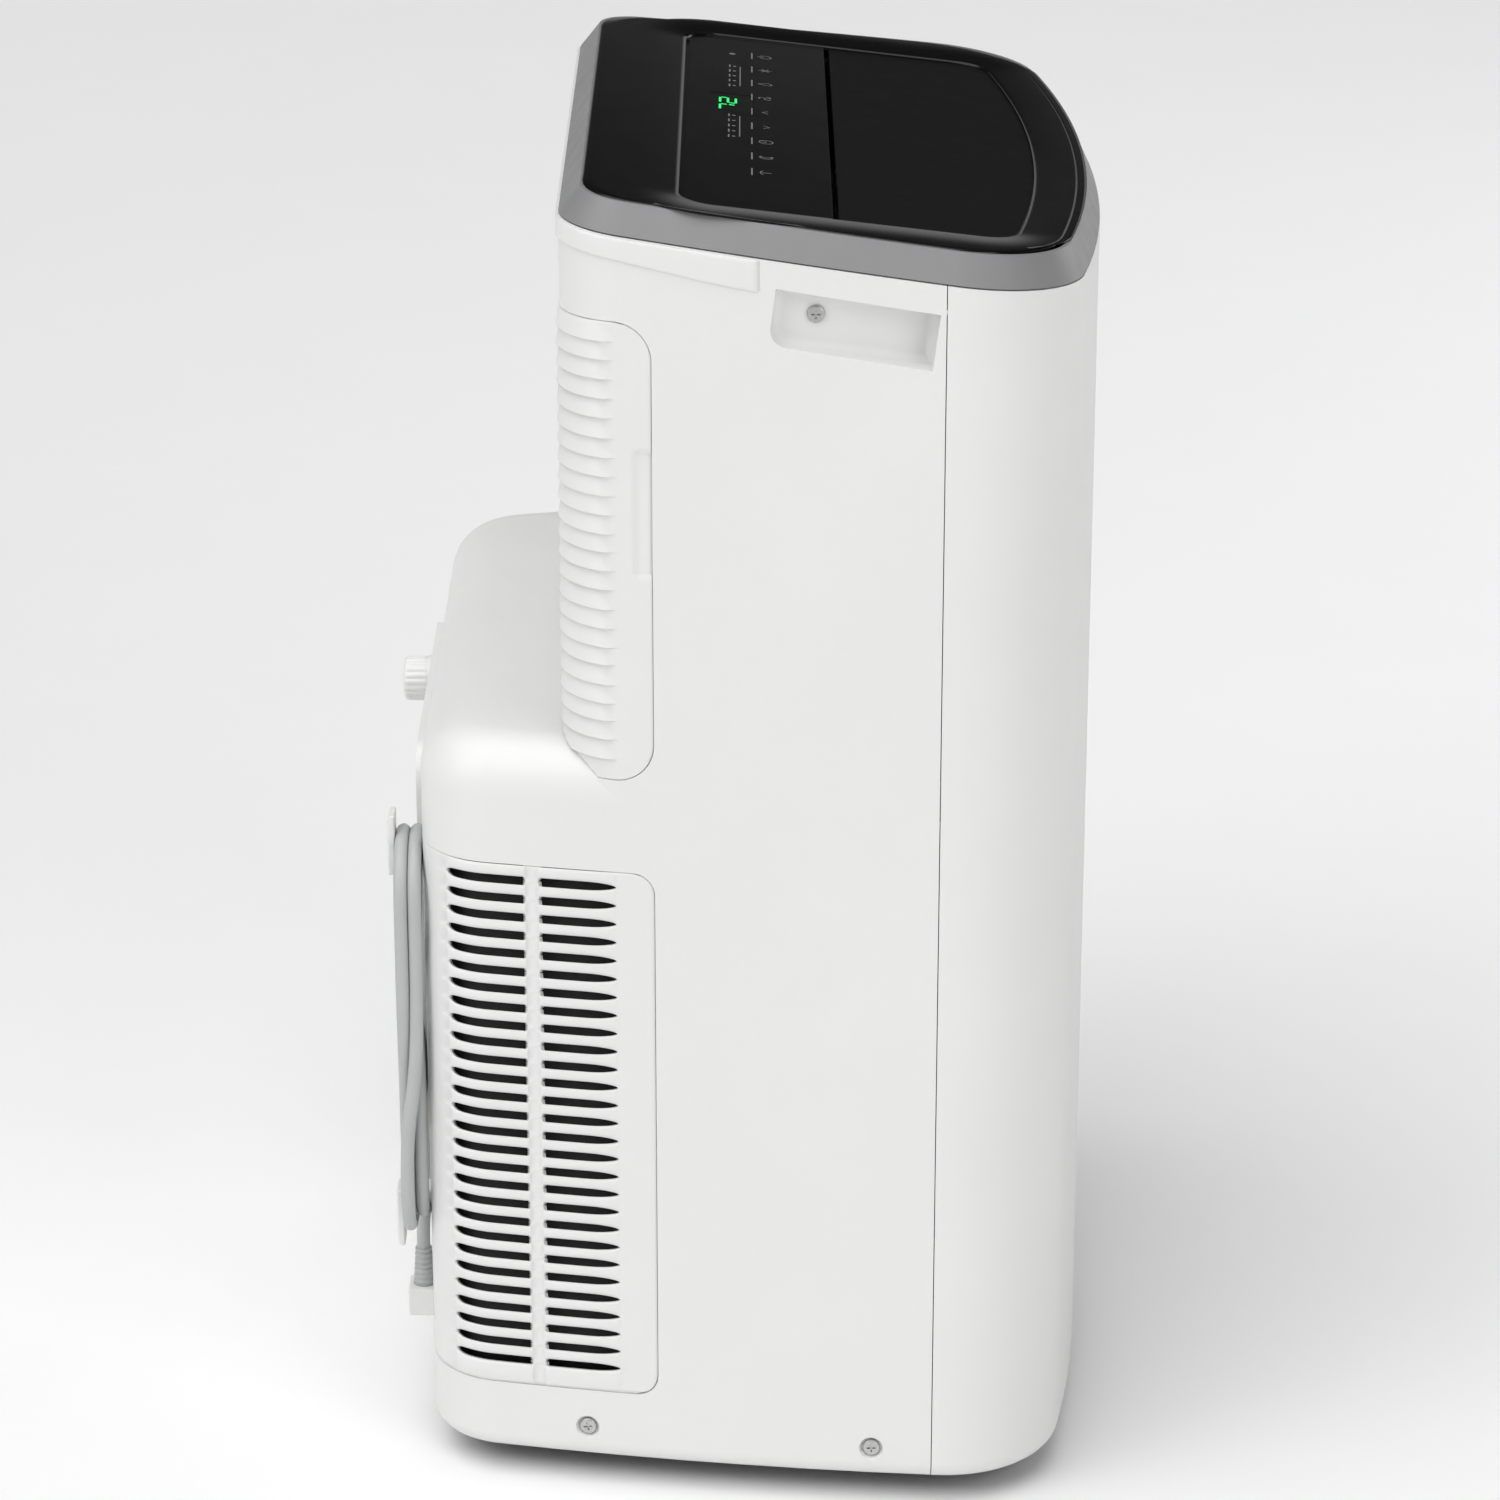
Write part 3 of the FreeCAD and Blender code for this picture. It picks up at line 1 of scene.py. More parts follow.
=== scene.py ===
import json
import math
import bmesh
import bpy
import numpy as np
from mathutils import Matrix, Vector


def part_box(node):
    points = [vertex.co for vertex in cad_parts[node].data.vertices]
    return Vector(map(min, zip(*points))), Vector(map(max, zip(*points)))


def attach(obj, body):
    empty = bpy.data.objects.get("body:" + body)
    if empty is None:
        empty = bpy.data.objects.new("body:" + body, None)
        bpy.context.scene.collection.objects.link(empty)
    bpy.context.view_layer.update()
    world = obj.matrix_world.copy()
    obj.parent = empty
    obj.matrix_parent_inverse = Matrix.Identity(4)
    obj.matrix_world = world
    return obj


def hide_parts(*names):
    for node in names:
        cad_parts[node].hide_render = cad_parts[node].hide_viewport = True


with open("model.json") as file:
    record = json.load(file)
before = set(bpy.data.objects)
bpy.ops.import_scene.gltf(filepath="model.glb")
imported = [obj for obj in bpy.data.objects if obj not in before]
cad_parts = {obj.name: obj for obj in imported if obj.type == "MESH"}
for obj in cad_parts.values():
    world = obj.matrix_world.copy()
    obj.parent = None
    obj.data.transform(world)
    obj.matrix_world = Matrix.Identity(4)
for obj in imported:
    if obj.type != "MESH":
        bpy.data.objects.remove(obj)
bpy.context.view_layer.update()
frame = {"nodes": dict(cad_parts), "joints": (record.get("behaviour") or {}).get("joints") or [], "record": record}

record = frame["record"]
nodes = frame["nodes"]
joints = {joint["name"]: joint for joint in frame["joints"]}


# meshes from whole arrays

def newMesh(name, verts, faces, smooth=True):
    mesh = bpy.data.meshes.new(name)
    mesh.from_pydata(np.asarray(verts, float).reshape(-1, 3).tolist(), [], faces)
    mesh.polygons.foreach_set("use_smooth", [smooth] * len(mesh.polygons))
    mesh.update()
    piece = bpy.data.objects.new(name, mesh)
    bpy.context.scene.collection.objects.link(piece)
    return piece


# quads of a grid of rows and columns; round joins its last column to the first
def gridFaces(rows, cols, around=False, start=0, flip=False):
    wide = cols if around else cols - 1
    r, c = np.meshgrid(np.arange(rows - 1), np.arange(wide), indexing="ij")
    nextC = (c + 1) % cols
    quads = np.stack([r * cols + c, r * cols + nextC, (r + 1) * cols + nextC, (r + 1) * cols + c], -1)
    if flip:
        quads = quads[..., ::-1]
    return (quads.reshape(-1, 4) + start).tolist()


def gridPiece(name, points, around=False, flip=False):
    rows, cols = points.shape[:2]
    return newMesh(name, points, gridFaces(rows, cols, around, 0, flip))


# joins vertices that lie on each other
def weld(piece, distance=1e-6):
    work = bmesh.new()
    work.from_mesh(piece.data)
    bmesh.ops.remove_doubles(work, verts=work.verts, dist=distance)
    bmesh.ops.dissolve_degenerate(work, edges=work.edges, dist=distance / 2)
    work.to_mesh(piece.data)
    work.free()
    return piece


def outwards(piece):
    work = bmesh.new()
    work.from_mesh(piece.data)
    bmesh.ops.recalc_face_normals(work, faces=work.faces)
    work.to_mesh(piece.data)
    work.free()
    return piece


def thicken(piece, thickness):
    solid = piece.modifiers.new("wall", "SOLIDIFY")
    solid.thickness = thickness
    solid.offset = -1
    return piece


def soften(piece, width, segments=2, angle=40):
    bevel = piece.modifiers.new("edges", "BEVEL")
    bevel.width = width
    bevel.segments = segments
    bevel.limit_method = "ANGLE"
    bevel.angle_limit = math.radians(angle)
    bevel.harden_normals = True
    return piece


# two unit directions square to an axis
def crossAxes(axis):
    axis = np.array(axis, float) / np.linalg.norm(axis)
    side = np.cross(axis, [0, 0, 1]) if abs(axis[2]) < 0.9 else np.array([1.0, 0, 0])
    side = side / np.linalg.norm(side)
    return axis, side, np.cross(axis, side)


# profile turned about an axis: each profile point is (radius, height), and swell(angle, height)
# multiplies the radius
def lathe(name, profile, base, axis, count=64, swell=None):
    axis, side, other = crossAxes(axis)
    profile = np.array(profile, float)
    turn = np.linspace(0, 2 * math.pi, count, endpoint=False)
    radius = np.repeat(profile[:, :1], count, 1)
    if swell is not None:
        radius = radius * swell(turn[None, :], profile[:, 1:2])
    points = (np.array(base, float) + radius[..., None] * (np.cos(turn)[None, :, None] * side
              + np.sin(turn)[None, :, None] * other) + profile[:, 1][:, None, None] * axis)
    piece = newMesh(name, points, gridFaces(len(profile), count, True))
    return outwards(weld(piece))


# joins several mesh pieces into the first one
def joined(name, pieces):
    verts = []
    faces = []
    for piece in pieces:
        start = len(verts)
        verts += [v.co[:] for v in piece.data.vertices]
        faces += [[start + i for i in f.vertices] for f in piece.data.polygons]
        bpy.data.objects.remove(piece)
    return newMesh(name, verts, faces)


# materials

def noise(tree, coord, scale, detail=3.0, rough=0.5):
    node = tree.nodes.new("ShaderNodeTexNoise")
    node.inputs["Scale"].default_value = scale
    node.inputs["Detail"].default_value = detail
    node.inputs["Roughness"].default_value = rough
    tree.links.new(coord, node.inputs["Vector"])
    return node.outputs["Fac"]


def spread(tree, value, low, high):
    node = tree.nodes.new("ShaderNodeMapRange")
    node.inputs["From Min"].default_value = 0.3
    node.inputs["From Max"].default_value = 0.7
    node.inputs["To Min"].default_value = low
    node.inputs["To Max"].default_value = high
    tree.links.new(value, node.inputs["Value"])
    return node.outputs["Result"]


# a moulded, cast or painted finish: a fine grain in the bump, and slow drifts in colour and in roughness
def finish(name, look):
    material = bpy.data.materials.new(name)
    material.use_nodes = True
    tree = material.node_tree
    shader = tree.nodes["Principled BSDF"]
    shader.inputs["Metallic"].default_value = look.get("metal", 0.0)
    shader.inputs["Specular IOR Level"].default_value = look.get("shine", 0.5)
    coord = tree.nodes.new("ShaderNodeTexCoord").outputs["Object"]
    if "stretch" in look:
        mapping = tree.nodes.new("ShaderNodeMapping")
        mapping.inputs["Scale"].default_value = look["stretch"]
        tree.links.new(coord, mapping.inputs["Vector"])
        coord = mapping.outputs["Vector"]
    drift = noise(tree, coord, look.get("driftScale", 9.0), 4.0, 0.6)
    colours = tree.nodes.new("ShaderNodeMix")
    colours.data_type = "RGBA"
    base = np.array(look["colour"])
    tone = look.get("tone", 0.06)
    colours.inputs["A"].default_value = (*(base * (1 - tone)), 1)
    colours.inputs["B"].default_value = (*np.minimum(base * (1 + tone), 1.0), 1)
    tree.links.new(spread(tree, drift, 0.0, 1.0), colours.inputs["Factor"])
    tree.links.new(colours.outputs["Result"], shader.inputs["Base Color"])
    smear = noise(tree, coord, look.get("smearScale", 60.0), 5.0, 0.65)
    rough = look["rough"]
    vary = look.get("vary", 0.06)
    tree.links.new(spread(tree, smear, rough - vary, rough + vary), shader.inputs["Roughness"])
    bump = tree.nodes.new("ShaderNodeBump")
    bump.inputs["Strength"].default_value = look.get("bump", 0.25)
    bump.inputs["Distance"].default_value = look.get("depth", 0.00008)
    tree.links.new(noise(tree, coord, look.get("grain", 1400.0), 2.0, 0.6), bump.inputs["Height"])
    tree.links.new(bump.outputs["Normal"], shader.inputs["Normal"])
    return material


def glow(name, colour, strength):
    material = bpy.data.materials.new(name)
    material.use_nodes = True
    shader = material.node_tree.nodes["Principled BSDF"]
    shader.inputs["Base Color"].default_value = (*(0.4 * np.array(colour)), 1)
    shader.inputs["Roughness"].default_value = 0.4
    shader.inputs["Emission Color"].default_value = (*colour, 1)
    shader.inputs["Emission Strength"].default_value = strength
    return material


looks = {
    "white_casing": {"colour": (0.78, 0.78, 0.775), "rough": 0.42, "tone": 0.012, "bump": 0.22},
    "white_trim": {"colour": (0.80, 0.80, 0.79), "rough": 0.34, "tone": 0.02, "bump": 0.12},
    "grey_ring": {"colour": (0.24, 0.24, 0.245), "rough": 0.44, "tone": 0.04, "bump": 0.2},
    "black_deck": {"colour": (0.0042, 0.0042, 0.0045), "rough": 0.15, "tone": 0.10, "bump": 0.03,
                   "shine": 0.28, "vary": 0.01},
    "black_flap": {"colour": (0.0045, 0.0045, 0.0045), "rough": 0.50, "tone": 0.12, "bump": 0.25,
                   "shine": 0.10, "vary": 0.02},
    "display": {"colour": (0.010, 0.012, 0.010), "rough": 0.12, "tone": 0.05, "bump": 0.02,
                "vary": 0.03},
    "black_inner": {"colour": (0.012, 0.012, 0.013), "rough": 0.55, "tone": 0.12, "bump": 0.35},
    "filter_mesh": {"colour": (0.16, 0.18, 0.21), "rough": 0.8, "tone": 0.3, "bump": 0.8,
                    "grain": 900.0, "depth": 0.0004},
    "soft_rubber": {"colour": (0.012, 0.012, 0.012), "rough": 0.7, "tone": 0.15, "bump": 0.3,
                    "grain": 900.0},
    "caster_black": {"colour": (0.012, 0.012, 0.013), "rough": 0.38, "tone": 0.2, "bump": 0.25,
                     "smearScale": 150.0, "vary": 0.1},
    "screw_steel": {"colour": (0.50, 0.50, 0.49), "rough": 0.32, "metal": 1.0, "tone": 0.1,
                    "grain": 2600.0, "vary": 0.1},
    "cord_grey": {"colour": (0.46, 0.47, 0.47), "rough": 0.48, "tone": 0.03, "bump": 0.2,
                  "grain": 1800.0},
    "blower_plastic": {"colour": (0.03, 0.03, 0.032), "rough": 0.5, "tone": 0.1},
    "motor_steel": {"colour": (0.50, 0.51, 0.52), "rough": 0.38, "metal": 1.0, "tone": 0.08,
                    "stretch": (1.0, 12.0, 1.0), "vary": 0.1},
    "compressor_paint": {"colour": (0.012, 0.012, 0.012), "rough": 0.3, "tone": 0.15, "bump": 0.3,
                         "grain": 500.0},
    "coil_aluminium": {"colour": (0.62, 0.63, 0.65), "rough": 0.4, "metal": 1.0, "tone": 0.1,
                       "stretch": (1.0, 1.0, 8.0)},
    "copper_pipe": {"colour": (0.60, 0.29, 0.16), "rough": 0.33, "metal": 1.0, "tone": 0.18,
                    "driftScale": 30.0},
    "seam_dark": {"colour": (0.02, 0.02, 0.02), "rough": 0.8, "tone": 0.1},
    "print_grey": {"colour": (0.22, 0.225, 0.225), "rough": 0.5, "tone": 0.08},
    "brass_pin": {"colour": (0.62, 0.50, 0.28), "rough": 0.3, "metal": 1.0, "tone": 0.08},
}
materials = {name: finish(name, look) for name, look in looks.items()}
materials["digit_green"] = glow("digit_green", (0.02, 0.85, 0.16), 1.6)


# body, finish and record slot of a new piece, and the CAD nodes it stands for
def settle(piece, body, material, replaced=()):
    piece.data.materials.clear()
    piece.data.materials.append(materials[material])
    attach(piece, body)
    if replaced:
        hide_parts(*replaced)
    return piece


slotOf = {part["node"]: part["material_slot"] for part in record["subparts"]}
for name, item in nodes.items():
    item.data.materials.clear()
    item.data.materials.append(materials[slotOf[name]])
bodyOf = {name: body for body, names in record["behaviour"]["bodies"].items() for name in names}
print("materials on", len(nodes), "nodes")

# camera, light and floor

view = {"target": (0.0, -0.0065, 0.348), "distance": 2.886, "elevation": 20.76, "lens": 123.08}
lift = math.radians(view["elevation"])
away = Vector((-math.cos(lift), 0, math.sin(lift)))
camera = bpy.data.objects.new("camera", bpy.data.cameras.new("camera"))
camera.data.lens = view["lens"]
camera.data.sensor_width = 36
camera.location = Vector(view["target"]) + view["distance"] * away
camera.rotation_euler = (-away).to_track_quat("-Z", "Y").to_euler()
bpy.context.scene.collection.objects.link(camera)
bpy.context.scene.camera = camera

light = {"sky": ((0.0, 0.40), (0.14, 0.40), (0.205, 0.012), (0.45, 0.02), (0.85, 0.15)),
         "sun": 2.35, "sunWidth": 70, "sunAim": (0.25, -0.30, -1.0),
         "front": 20, "back": 15, "far": 11}
world = bpy.data.worlds.new("studio")
bpy.context.scene.world = world
world.use_nodes = True
sky = world.node_tree
skyHeight = sky.nodes.new("ShaderNodeSeparateXYZ")
sky.links.new(sky.nodes.new("ShaderNodeTexCoord").outputs["Generated"], skyHeight.inputs[0])
skyFade = sky.nodes.new("ShaderNodeValToRGB")  # bright at the horizon and overhead, dim between
while len(skyFade.color_ramp.elements) < len(light["sky"]):
    skyFade.color_ramp.elements.new(0.5)
for stop, (height, strength) in zip(skyFade.color_ramp.elements, light["sky"]):
    stop.position = height
    stop.color = (strength, strength, strength, 1)
sky.links.new(skyHeight.outputs["Z"], skyFade.inputs["Fac"])
sky.links.new(skyFade.outputs["Color"], sky.nodes["Background"].inputs["Strength"])
sky.nodes["Background"].inputs["Color"].default_value = (1, 1, 1, 1)
sun = bpy.data.objects.new("overhead", bpy.data.lights.new("overhead", "SUN"))
sun.data.energy = light["sun"]
sun.data.angle = math.radians(light["sunWidth"])
sun.rotation_euler = Vector(light["sunAim"]).to_track_quat("-Z", "Y").to_euler()
bpy.context.scene.collection.objects.link(sun)
bpy.context.scene.view_settings.view_transform = "Standard"


def softBox(name, place, aim, width, power):
    lamp = bpy.data.lights.new(name, "AREA")
    lamp.shape = "RECTANGLE"
    lamp.size = width
    lamp.size_y = width
    lamp.energy = power
    item = bpy.data.objects.new(name, lamp)
    item.location = place
    item.rotation_euler = (Vector(aim) - Vector(place)).to_track_quat("-Z", "Y").to_euler()
    bpy.context.scene.collection.objects.link(item)


softBox("sideFront", (-2.2, -1.6, 1.5), (0, 0, 0.35), 1.4, light["front"])
softBox("sideBack", (-1.6, 2.2, 1.4), (0, 0, 0.35), 1.4, light["back"])
softBox("farFront", (2.0, -2.4, 1.2), (0, 0, 0.35), 1.4, light["far"])

floorRing = np.linspace(0, 2 * math.pi, 64, endpoint=False)
floorVerts = np.stack([9 * np.cos(floorRing), 9 * np.sin(floorRing), 0 * floorRing - 0.0002], -1)
floor = newMesh("studio_floor", floorVerts, [list(range(64))], False)
floor.data.materials.append(finish("floor_paper", {"colour": (0.93, 0.93, 0.93), "rough": 0.8,
                                                   "tone": 0.004, "bump": 0.05, "shine": 0.1}))
print("camera, light and floor")

# the mains cord, wound on the two hooks

cordLook = {"radius": 0.0037, "exit": (-0.122, 0.1755, 0.098), "middleX": -0.150,
            "outer": 0.0295, "inner": 0.0219, "back": 0.1719, "front": 0.1793,
            "top": 0.3274, "low": 0.1587}
back, front = cordLook["back"], cordLook["front"]
outer, inner = cordLook["outer"], cordLook["inner"]


# control points round a half circle, placed so that the curve touches the circle between them
def halfTurn(half, y, centreZ, start):
    turn = start + np.radians(18 + 36 * np.arange(5))
    reach = half / math.cos(math.radians(18))
    return [(cordLook["middleX"] + reach * math.cos(t), y, centreZ + reach * math.sin(t)) for t in turn]


# one turn: up the near side, over the upper hook, down the far side and round the lower hook;
# the far side's points are given, because the strands cross there
def wholeTurn(half, y, farSide, halfLow, yLow):
    side = cordLook["middleX"] + half
    rise = [(side + 0.0002, y, 0.176), (side - 0.0003, y, 0.214), (side + 0.0003, y, 0.258),
            (side - 0.0002, y, 0.306)]
    over = halfTurn(half, y, cordLook["top"], 0.0)
    down = [(cordLook["middleX"] - far, farY, z) for far, farY, z in farSide]
    under = halfTurn(halfLow, yLow, cordLook["low"], math.pi)
    return rise + over + down + under


cordPoints = [cordLook["exit"], (-0.122, 0.1755, 0.112), (-0.1223, 0.1739, 0.1265),
              (-0.1222, 0.1723, 0.141), (-0.1208, 0.1719, 0.157)]
cordPoints += wholeTurn(outer, back, [(outer, back, 0.312), (outer, back, 0.268),
                                      (outer + 0.001, back + 0.0012, 0.232),
                                      (outer + 0.001, front - 0.0010, 0.196),
                                      (outer, front, 0.174)], outer, front)
cordPoints += wholeTurn(outer, front, [(outer, front, 0.312), (outer, front, 0.276),
                                       (outer - 0.002, front, 0.252), (inner + 0.001, front, 0.226),
                                       (inner, front, 0.176)], inner, front)
cordPoints += wholeTurn(inner, front, [(inner, front, 0.312), (inner, front - 0.001, 0.285),
                                       (inner, back + 0.001, 0.258), (inner, back, 0.222),
                                       (inner, back, 0.176)], inner, back)
cordPoints += wholeTurn(inner, back, [], inner, back)[:9]
cordPoints += [(-0.1712, 0.1722, 0.316), (-0.1650, 0.1735, 0.297), (-0.1545, 0.1750, 0.280),
               (-0.1500, 0.1755, 0.264), (-0.1500, 0.1755, 0.2512)]

cordCurve = bpy.data.curves.new("mains_cord", "CURVE")
cordCurve.dimensions = "3D"
cordCurve.bevel_depth = cordLook["radius"]
cordCurve.bevel_resolution = 6
cordCurve.resolution_u = 8
cordCurve.use_fill_caps = True
spline = cordCurve.splines.new("NURBS")
spline.points.add(len(cordPoints) - 1)
spline.points.foreach_set("co", np.column_stack([cordPoints, np.ones(len(cordPoints))]).ravel())
spline.order_u = 3
spline.use_endpoint_u = True
cord = bpy.data.objects.new("mains_cord", cordCurve)
bpy.context.scene.collection.objects.link(cord)
settle(cord, "root", "cord_grey", replaced=("cord_hank", "cord_lead"))

# strain relief: its radius falls evenly from low to top, less a groove wherever a sine of the height
# is high
reliefLook = {"bore": 0.0034, "low": 0.0060, "top": 0.0046, "groove": 0.0007, "grooves": 7}
low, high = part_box("strain_relief")
reliefTall = high.z - low.z
rings = np.linspace(0, 1, 45)
grooved = np.sin(rings * reliefLook["grooves"] * 2 * math.pi) > 0.35
reliefR = reliefLook["low"] + (reliefLook["top"] - reliefLook["low"]) * rings
reliefR = reliefR - reliefLook["groove"] * grooved
reliefProfile = [(reliefLook["bore"], 0.0)] + [(r, t * reliefTall) for r, t in zip(reliefR, rings)]
reliefProfile += [(reliefLook["bore"], reliefTall)]
relief = lathe("cord_boot", reliefProfile, ((low.x + high.x) / 2, (low.y + high.y) / 2, low.z),
               (0, 0, 1), 40)
settle(relief, "root", "cord_grey", replaced=("strain_relief",))

# plug: a superellipse section that narrows towards the cord, with ribs to grip, and its pins
plugLook = {"x": -0.150, "y": 0.1755, "halfX": 0.0130, "halfY": 0.0063, "gripLow": 0.2052,
            "gripTop": 0.2505, "power": 3.2, "pinTop": 0.2055, "bladeX": 0.00635, "bladeLow": 0.188,
            "earthLow": 0.1862}
plugX, plugY = plugLook["x"], plugLook["y"]
tall = np.linspace(0, 1, 40)
taper = 1.0 - 0.52 * (np.maximum(tall - 0.55, 0) / 0.45) ** 1.6
taper = taper * np.where((tall > 0.58) & (tall < 0.94), 1 - 0.05 * (np.sin(tall * 95) > 0.2), 1.0)
taper[0] = 0.93
turn = np.linspace(0, 2 * math.pi, 56, endpoint=False)
power = 2 / plugLook["power"]
roundX = np.sign(np.cos(turn)) * np.abs(np.cos(turn)) ** power
roundY = np.sign(np.sin(turn)) * np.abs(np.sin(turn)) ** power
plugZ = plugLook["gripLow"] + tall * (plugLook["gripTop"] - plugLook["gripLow"])
ringX = plugX + plugLook["halfX"] * taper[:, None] * roundX[None, :]
ringY = plugY + plugLook["halfY"] * (0.35 + 0.65 * taper[:, None]) * roundY[None, :]
ringZ = np.repeat(plugZ[:, None], len(turn), 1)
grip = np.stack([ringX, ringY, ringZ], -1)
grip = np.concatenate([grip[:1] * 0 + grip[:1].mean(1, keepdims=True), grip,
                       grip[-1:] * 0 + grip[-1:].mean(1, keepdims=True)])
plugGrip = outwards(weld(gridPiece("plug_grip", grip, around=True)))
settle(plugGrip, "root", "cord_grey", replaced=("plug",))


# a flat pin with rounded ends along Z: a superellipse section carried downwards
def pin(name, x, y, halfX, halfY, top, bottom, power):
    turn = np.linspace(0, 2 * math.pi, 24, endpoint=False)
    level = np.array([0.0, 0.0, 0.86, 0.96, 1.0, 1.0])
    grow = np.array([0.0, 1.0, 1.0, 0.8, 0.45, 0.0])
    px = np.sign(np.cos(turn)) * np.abs(np.cos(turn)) ** power
    py = np.sign(np.sin(turn)) * np.abs(np.sin(turn)) ** power
    pts = np.stack([x + halfX * grow[:, None] * px, y + halfY * grow[:, None] * py,
                    np.repeat((top + (bottom - top) * level)[:, None], 24, 1)], -1)
    return outwards(weld(gridPiece(name, pts, around=True)))


pins = [pin("blade", plugX + side * plugLook["bladeX"], plugY - 0.001, 0.0008, 0.0032,
            plugLook["pinTop"], plugLook["bladeLow"], 0.5) for side in (-1, 1)]
pins.append(pin("earth", plugX, plugY + 0.0036, 0.0024, 0.0024, plugLook["pinTop"],
                plugLook["earthLow"], 1.0))
plugPins = joined("plug_pins", pins)
settle(plugPins, "root", "brass_pin")
print("cord, strain relief and plug")

# casing outline, measured along the wall from the middle of the back

casing = {"bow": 1.720, "crestX": 0.2456, "crestY": -0.2438}
upperWall = {"back": 0.0905, "round": 0.038}
lowerWall = {"back": 0.168, "round": 0.045}
ringEdge = {"seamY": -0.1045, "seamZ": 0.6856, "rise": 0.118}


# half-length of the straight back, angle where the side's bow ends, and length of the corner's arc
def cornerOf(wall):
    rise = wall["back"] - wall["round"] - casing["crestY"]
    angle = math.asin(rise / (casing["bow"] - wall["round"]))
    half = casing["crestX"] - casing["bow"] + (casing["bow"] - wall["round"]) * math.cos(angle)
    return half, angle, wall["round"] * (math.pi / 2 - angle)


# distance along the wall at a depth on the side
def alongAt(y, wall):
    half, angle, arc = cornerOf(wall)
    return half + arc + casing["bow"] * (angle - math.asin((y - casing["crestY"]) / casing["bow"]))


# points of the wall: straight back, corner arc, then the side's large arc, moved outwards by offset
def wallPoints(along, z, wall, offset):
    along, z, offset = np.broadcast_arrays(along, z, offset)
    half, angle, arc = cornerOf(wall)
    reach = np.abs(along)
    turn = math.pi / 2 - (reach - half) / wall["round"]
    bend = angle - (reach - half - arc) / casing["bow"]
    straight = reach <= half
    corner = ~straight & (reach <= half + arc)
    lean = np.where(straight, math.pi / 2, np.where(corner, turn, bend))
    x = np.where(straight, reach, np.where(corner, half + wall["round"] * np.cos(turn),
                 casing["crestX"] - casing["bow"] + casing["bow"] * np.cos(bend)))
    y = np.where(straight, wall["back"], np.where(corner, wall["back"] - wall["round"]
                 + wall["round"] * np.sin(turn), casing["crestY"] + casing["bow"] * np.sin(bend)))
    x = x + offset * np.where(straight, 0, np.cos(lean))
    y = y + offset * np.sin(lean)
    return np.stack([np.sign(along) * x, y, z], -1)


def smooth(value, low, high):
    t = np.clip((value - low) / (high - low), 0, 1)
    return t * t * (3 - 2 * t)


# upper cover: 23 louvres like clapboards, each lip standing out over the next one down

cover = {"frontY": 0.0435, "low": 0.414, "top": 0.660, "round": 0.020, "count": 23,
         "first": 0.4255, "pitch": 0.0102, "proud": 0.0021, "startY": 0.0625, "leaf": 0.010,
         "bays": 6, "bayPitch": 0.055, "rib": 0.0035, "humpTop": 0.428, "humpRound": 0.027,
         "notchY": 0.052, "notchLow": 0.5255, "notchTop": 0.5935, "notchDeep": 0.0016}
steps = np.array([0.0, 0.03, 0.10, 0.25, 0.45, 0.65, 0.85, 0.965])
rows = (cover["first"] + cover["pitch"] * (np.arange(cover["count"])[:, None] + steps)).ravel()
rows = np.concatenate([cover["low"] + (cover["first"] - cover["low"]) * np.linspace(0, 0.97, 9) ** 1.6,
                       rows])
rows = rows[rows < cover["top"] - 0.0005]
rows = np.append(rows, cover["top"])
edgeS = alongAt(cover["frontY"], upperWall)
fadeS = alongAt(cover["startY"], upperWall)
halfBack, _, _ = cornerOf(upperWall)
bayEdges = cover["bayPitch"] * (np.arange(cover["bays"] + 1) - cover["bays"] / 2)
backCols = np.unique(np.concatenate([np.linspace(-halfBack, halfBack, 13)]
                     + [bayEdges + d for d in (-0.008, -0.0045, -0.0033, 0, 0.0033, 0.0045, 0.008)]))
backCols = backCols[np.abs(backCols) < halfBack]
sideCols = np.concatenate([np.linspace(halfBack, edgeS - 0.0225, 34), np.linspace(0, 1, 15)[1:] + 9])
cols = np.concatenate([-sideCols[::-1], backCols, sideCols])
z = rows[:, None] + 0 * cols[None, :]
inset = cover["round"] - np.minimum(np.minimum(rows - cover["low"], cover["top"] - rows), cover["round"])
edgeAt = edgeS - (cover["round"] - np.sqrt(np.maximum(cover["round"] ** 2 - inset ** 2, 0)))
share = np.abs(cols)[None, :] - 9
along = np.where(share > 0, edgeS - 0.0225 + share * (edgeAt[:, None] - edgeS + 0.0225),
                 np.abs(cols)[None, :]) * np.sign(cols)[None, :]
flat = wallPoints(along, z, upperWall, 0.0)
bowX = casing["crestX"] - casing["bow"] + np.sqrt(casing["bow"] ** 2
                                                  - (flat[..., 1] - casing["crestY"]) ** 2)
inHump = np.clip(bowX - np.abs(flat[..., 0]), 0, cover["humpRound"])
humpZ = (cover["humpTop"] - cover["humpRound"] + 0.0010
         + np.sqrt(cover["humpRound"] ** 2 - (cover["humpRound"] - inHump) ** 2))
z = np.maximum(z, humpZ)
phase = (z - cover["first"]) / cover["pitch"]
inside = (phase >= 0) & (phase < cover["count"])
phase = phase - np.floor(phase)
lip = (1 - phase) ** 0.85 * inside
reach = np.abs(along)
ends = smooth(fadeS - cover["leaf"] * phase - reach, -0.001, 0.006)
ribAt = np.abs((reach + cover["bayPitch"] / 2 * (cover["bays"] % 2)) % cover["bayPitch"])
ribAt = np.minimum(ribAt, cover["bayPitch"] - ribAt)
ribs = np.where(reach < bayEdges[-1] + 0.006, smooth(ribAt, cover["rib"], cover["rib"] + 0.0012), 1)
notchS = alongAt(cover["notchY"], upperWall)
